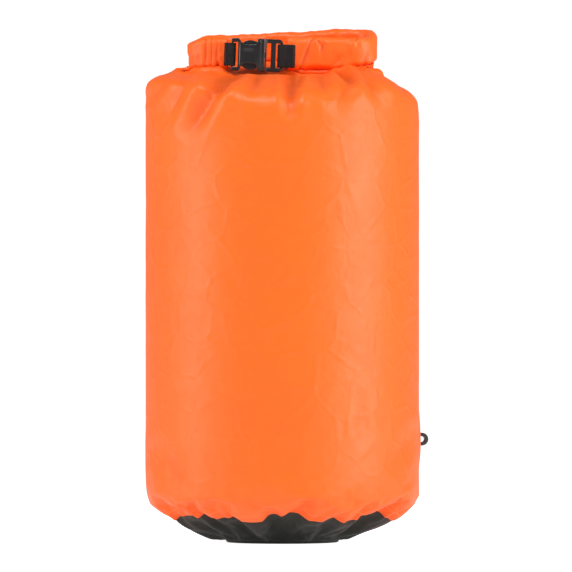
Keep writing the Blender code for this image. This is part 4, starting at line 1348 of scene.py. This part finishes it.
def make_studio():
    scene = bpy.context.scene
    floor_mesh = bpy.data.meshes.new("floor")
    floor_mesh.from_pydata([(-9, -9, 0), (9, -9, 0), (9, 9, 0), (-9, 9, 0)], [], [(0, 1, 2, 3)])
    floor = bpy.data.objects.new("floor", floor_mesh)
    scene.collection.objects.link(floor)
    made, n, skin, place = new_material("pale_floor")
    speck = n.noise(place, 30.0, 3.0)
    n.join(n.mix(speck, (0.86, 0.86, 0.86), (0.90, 0.90, 0.90)), skin.inputs["Base Color"])
    set_values(skin, Roughness=0.9, Specular_IOR_Level=0.0, Emission_Color=(1, 1, 1, 1))
    seen = n.add("ShaderNodeLightPath").outputs["Is Camera Ray"]
    n.join(n.math("MULTIPLY_ADD", seen, FLOOR_WHITE, FLOOR_GLOW), skin.inputs["Emission Strength"])
    floor_mesh.materials.append(made)

    world = bpy.data.worlds.new("studio")
    scene.world = world
    world.use_nodes = True
    n = Nodes(world.node_tree)
    sky = n.add("ShaderNodeBackground")
    white = n.add("ShaderNodeBackground")
    sky.inputs[0].default_value = (1, 1, 1, 1)
    white.inputs[0].default_value = (1, 1, 1, 1)
    sky.inputs[1].default_value = AMBIENT
    white.inputs[1].default_value = 1.05
    path = n.add("ShaderNodeLightPath")
    pick = n.add("ShaderNodeMixShader")
    n.join(path.outputs["Is Camera Ray"], pick.inputs[0])
    n.join(sky.outputs[0], pick.inputs[1])
    n.join(white.outputs[0], pick.inputs[2])
    end = n.add("ShaderNodeOutputWorld")
    n.join(pick.outputs[0], end.inputs[0])
    for name, place, size, power in LIGHTS:
        lamp = bpy.data.lights.new(name, "AREA")
        lamp.shape = "RECTANGLE"
        lamp.size, lamp.size_y = size
        lamp.energy = power
        thing = bpy.data.objects.new(name, lamp)
        thing.location = place
        aim = Vector((0, 0, 0.22)) - Vector(place)
        thing.rotation_euler = aim.to_track_quat("-Z", "Y").to_euler()
        thing.visible_camera = False
        scene.collection.objects.link(thing)

    lens = bpy.data.cameras.new("camera")
    lens.angle = 2 * math.atan(0.2496 / CAMERA_DISTANCE)
    camera = bpy.data.objects.new("camera", lens)
    camera.location = (3.2 * MM, -CAMERA_DISTANCE, 223.6 * MM)
    camera.rotation_euler = (math.radians(90), 0, 0)
    scene.collection.objects.link(camera)
    scene.camera = camera
    scene.view_settings.view_transform = "Standard"


make_studio()
FINISHES = {
    "tube": orange_cloth("orange_cloth", True),
    "roll": orange_cloth("orange_roll_cloth", False),
    "base": base_cloth(),
    "strap": webbing(),
    "thread": thread_finish(),
    "buckle": moulded("buckle_plastic", (0.006, 0.006, 0.0065), (0.011, 0.011, 0.012), 0.22, 0.35, wear=0.15),
    "valve": moulded("valve_plastic", (0.018, 0.017, 0.016), (0.030, 0.028, 0.026), 0.30, 0.2),
    "strip": moulded("stiff_strip", (0.018, 0.018, 0.020), (0.030, 0.030, 0.033), 0.5, 0.0, 1200.0),
    "flange": moulded("soft_flange", (0.045, 0.045, 0.045), (0.07, 0.07, 0.07), 0.55, 0.0, 900.0),
    "rubber": moulded("seal_rubber", (0.009, 0.009, 0.009), (0.016, 0.016, 0.016), 0.7, 0.0, 1800.0, 0.1),
    "tape": tape_finish(),
}
dress_nodes(FINISHES)
make_bag(FINISHES)
make_roll(FINISHES["roll"])
make_straps(FINISHES)
make_moulded(FINISHES)
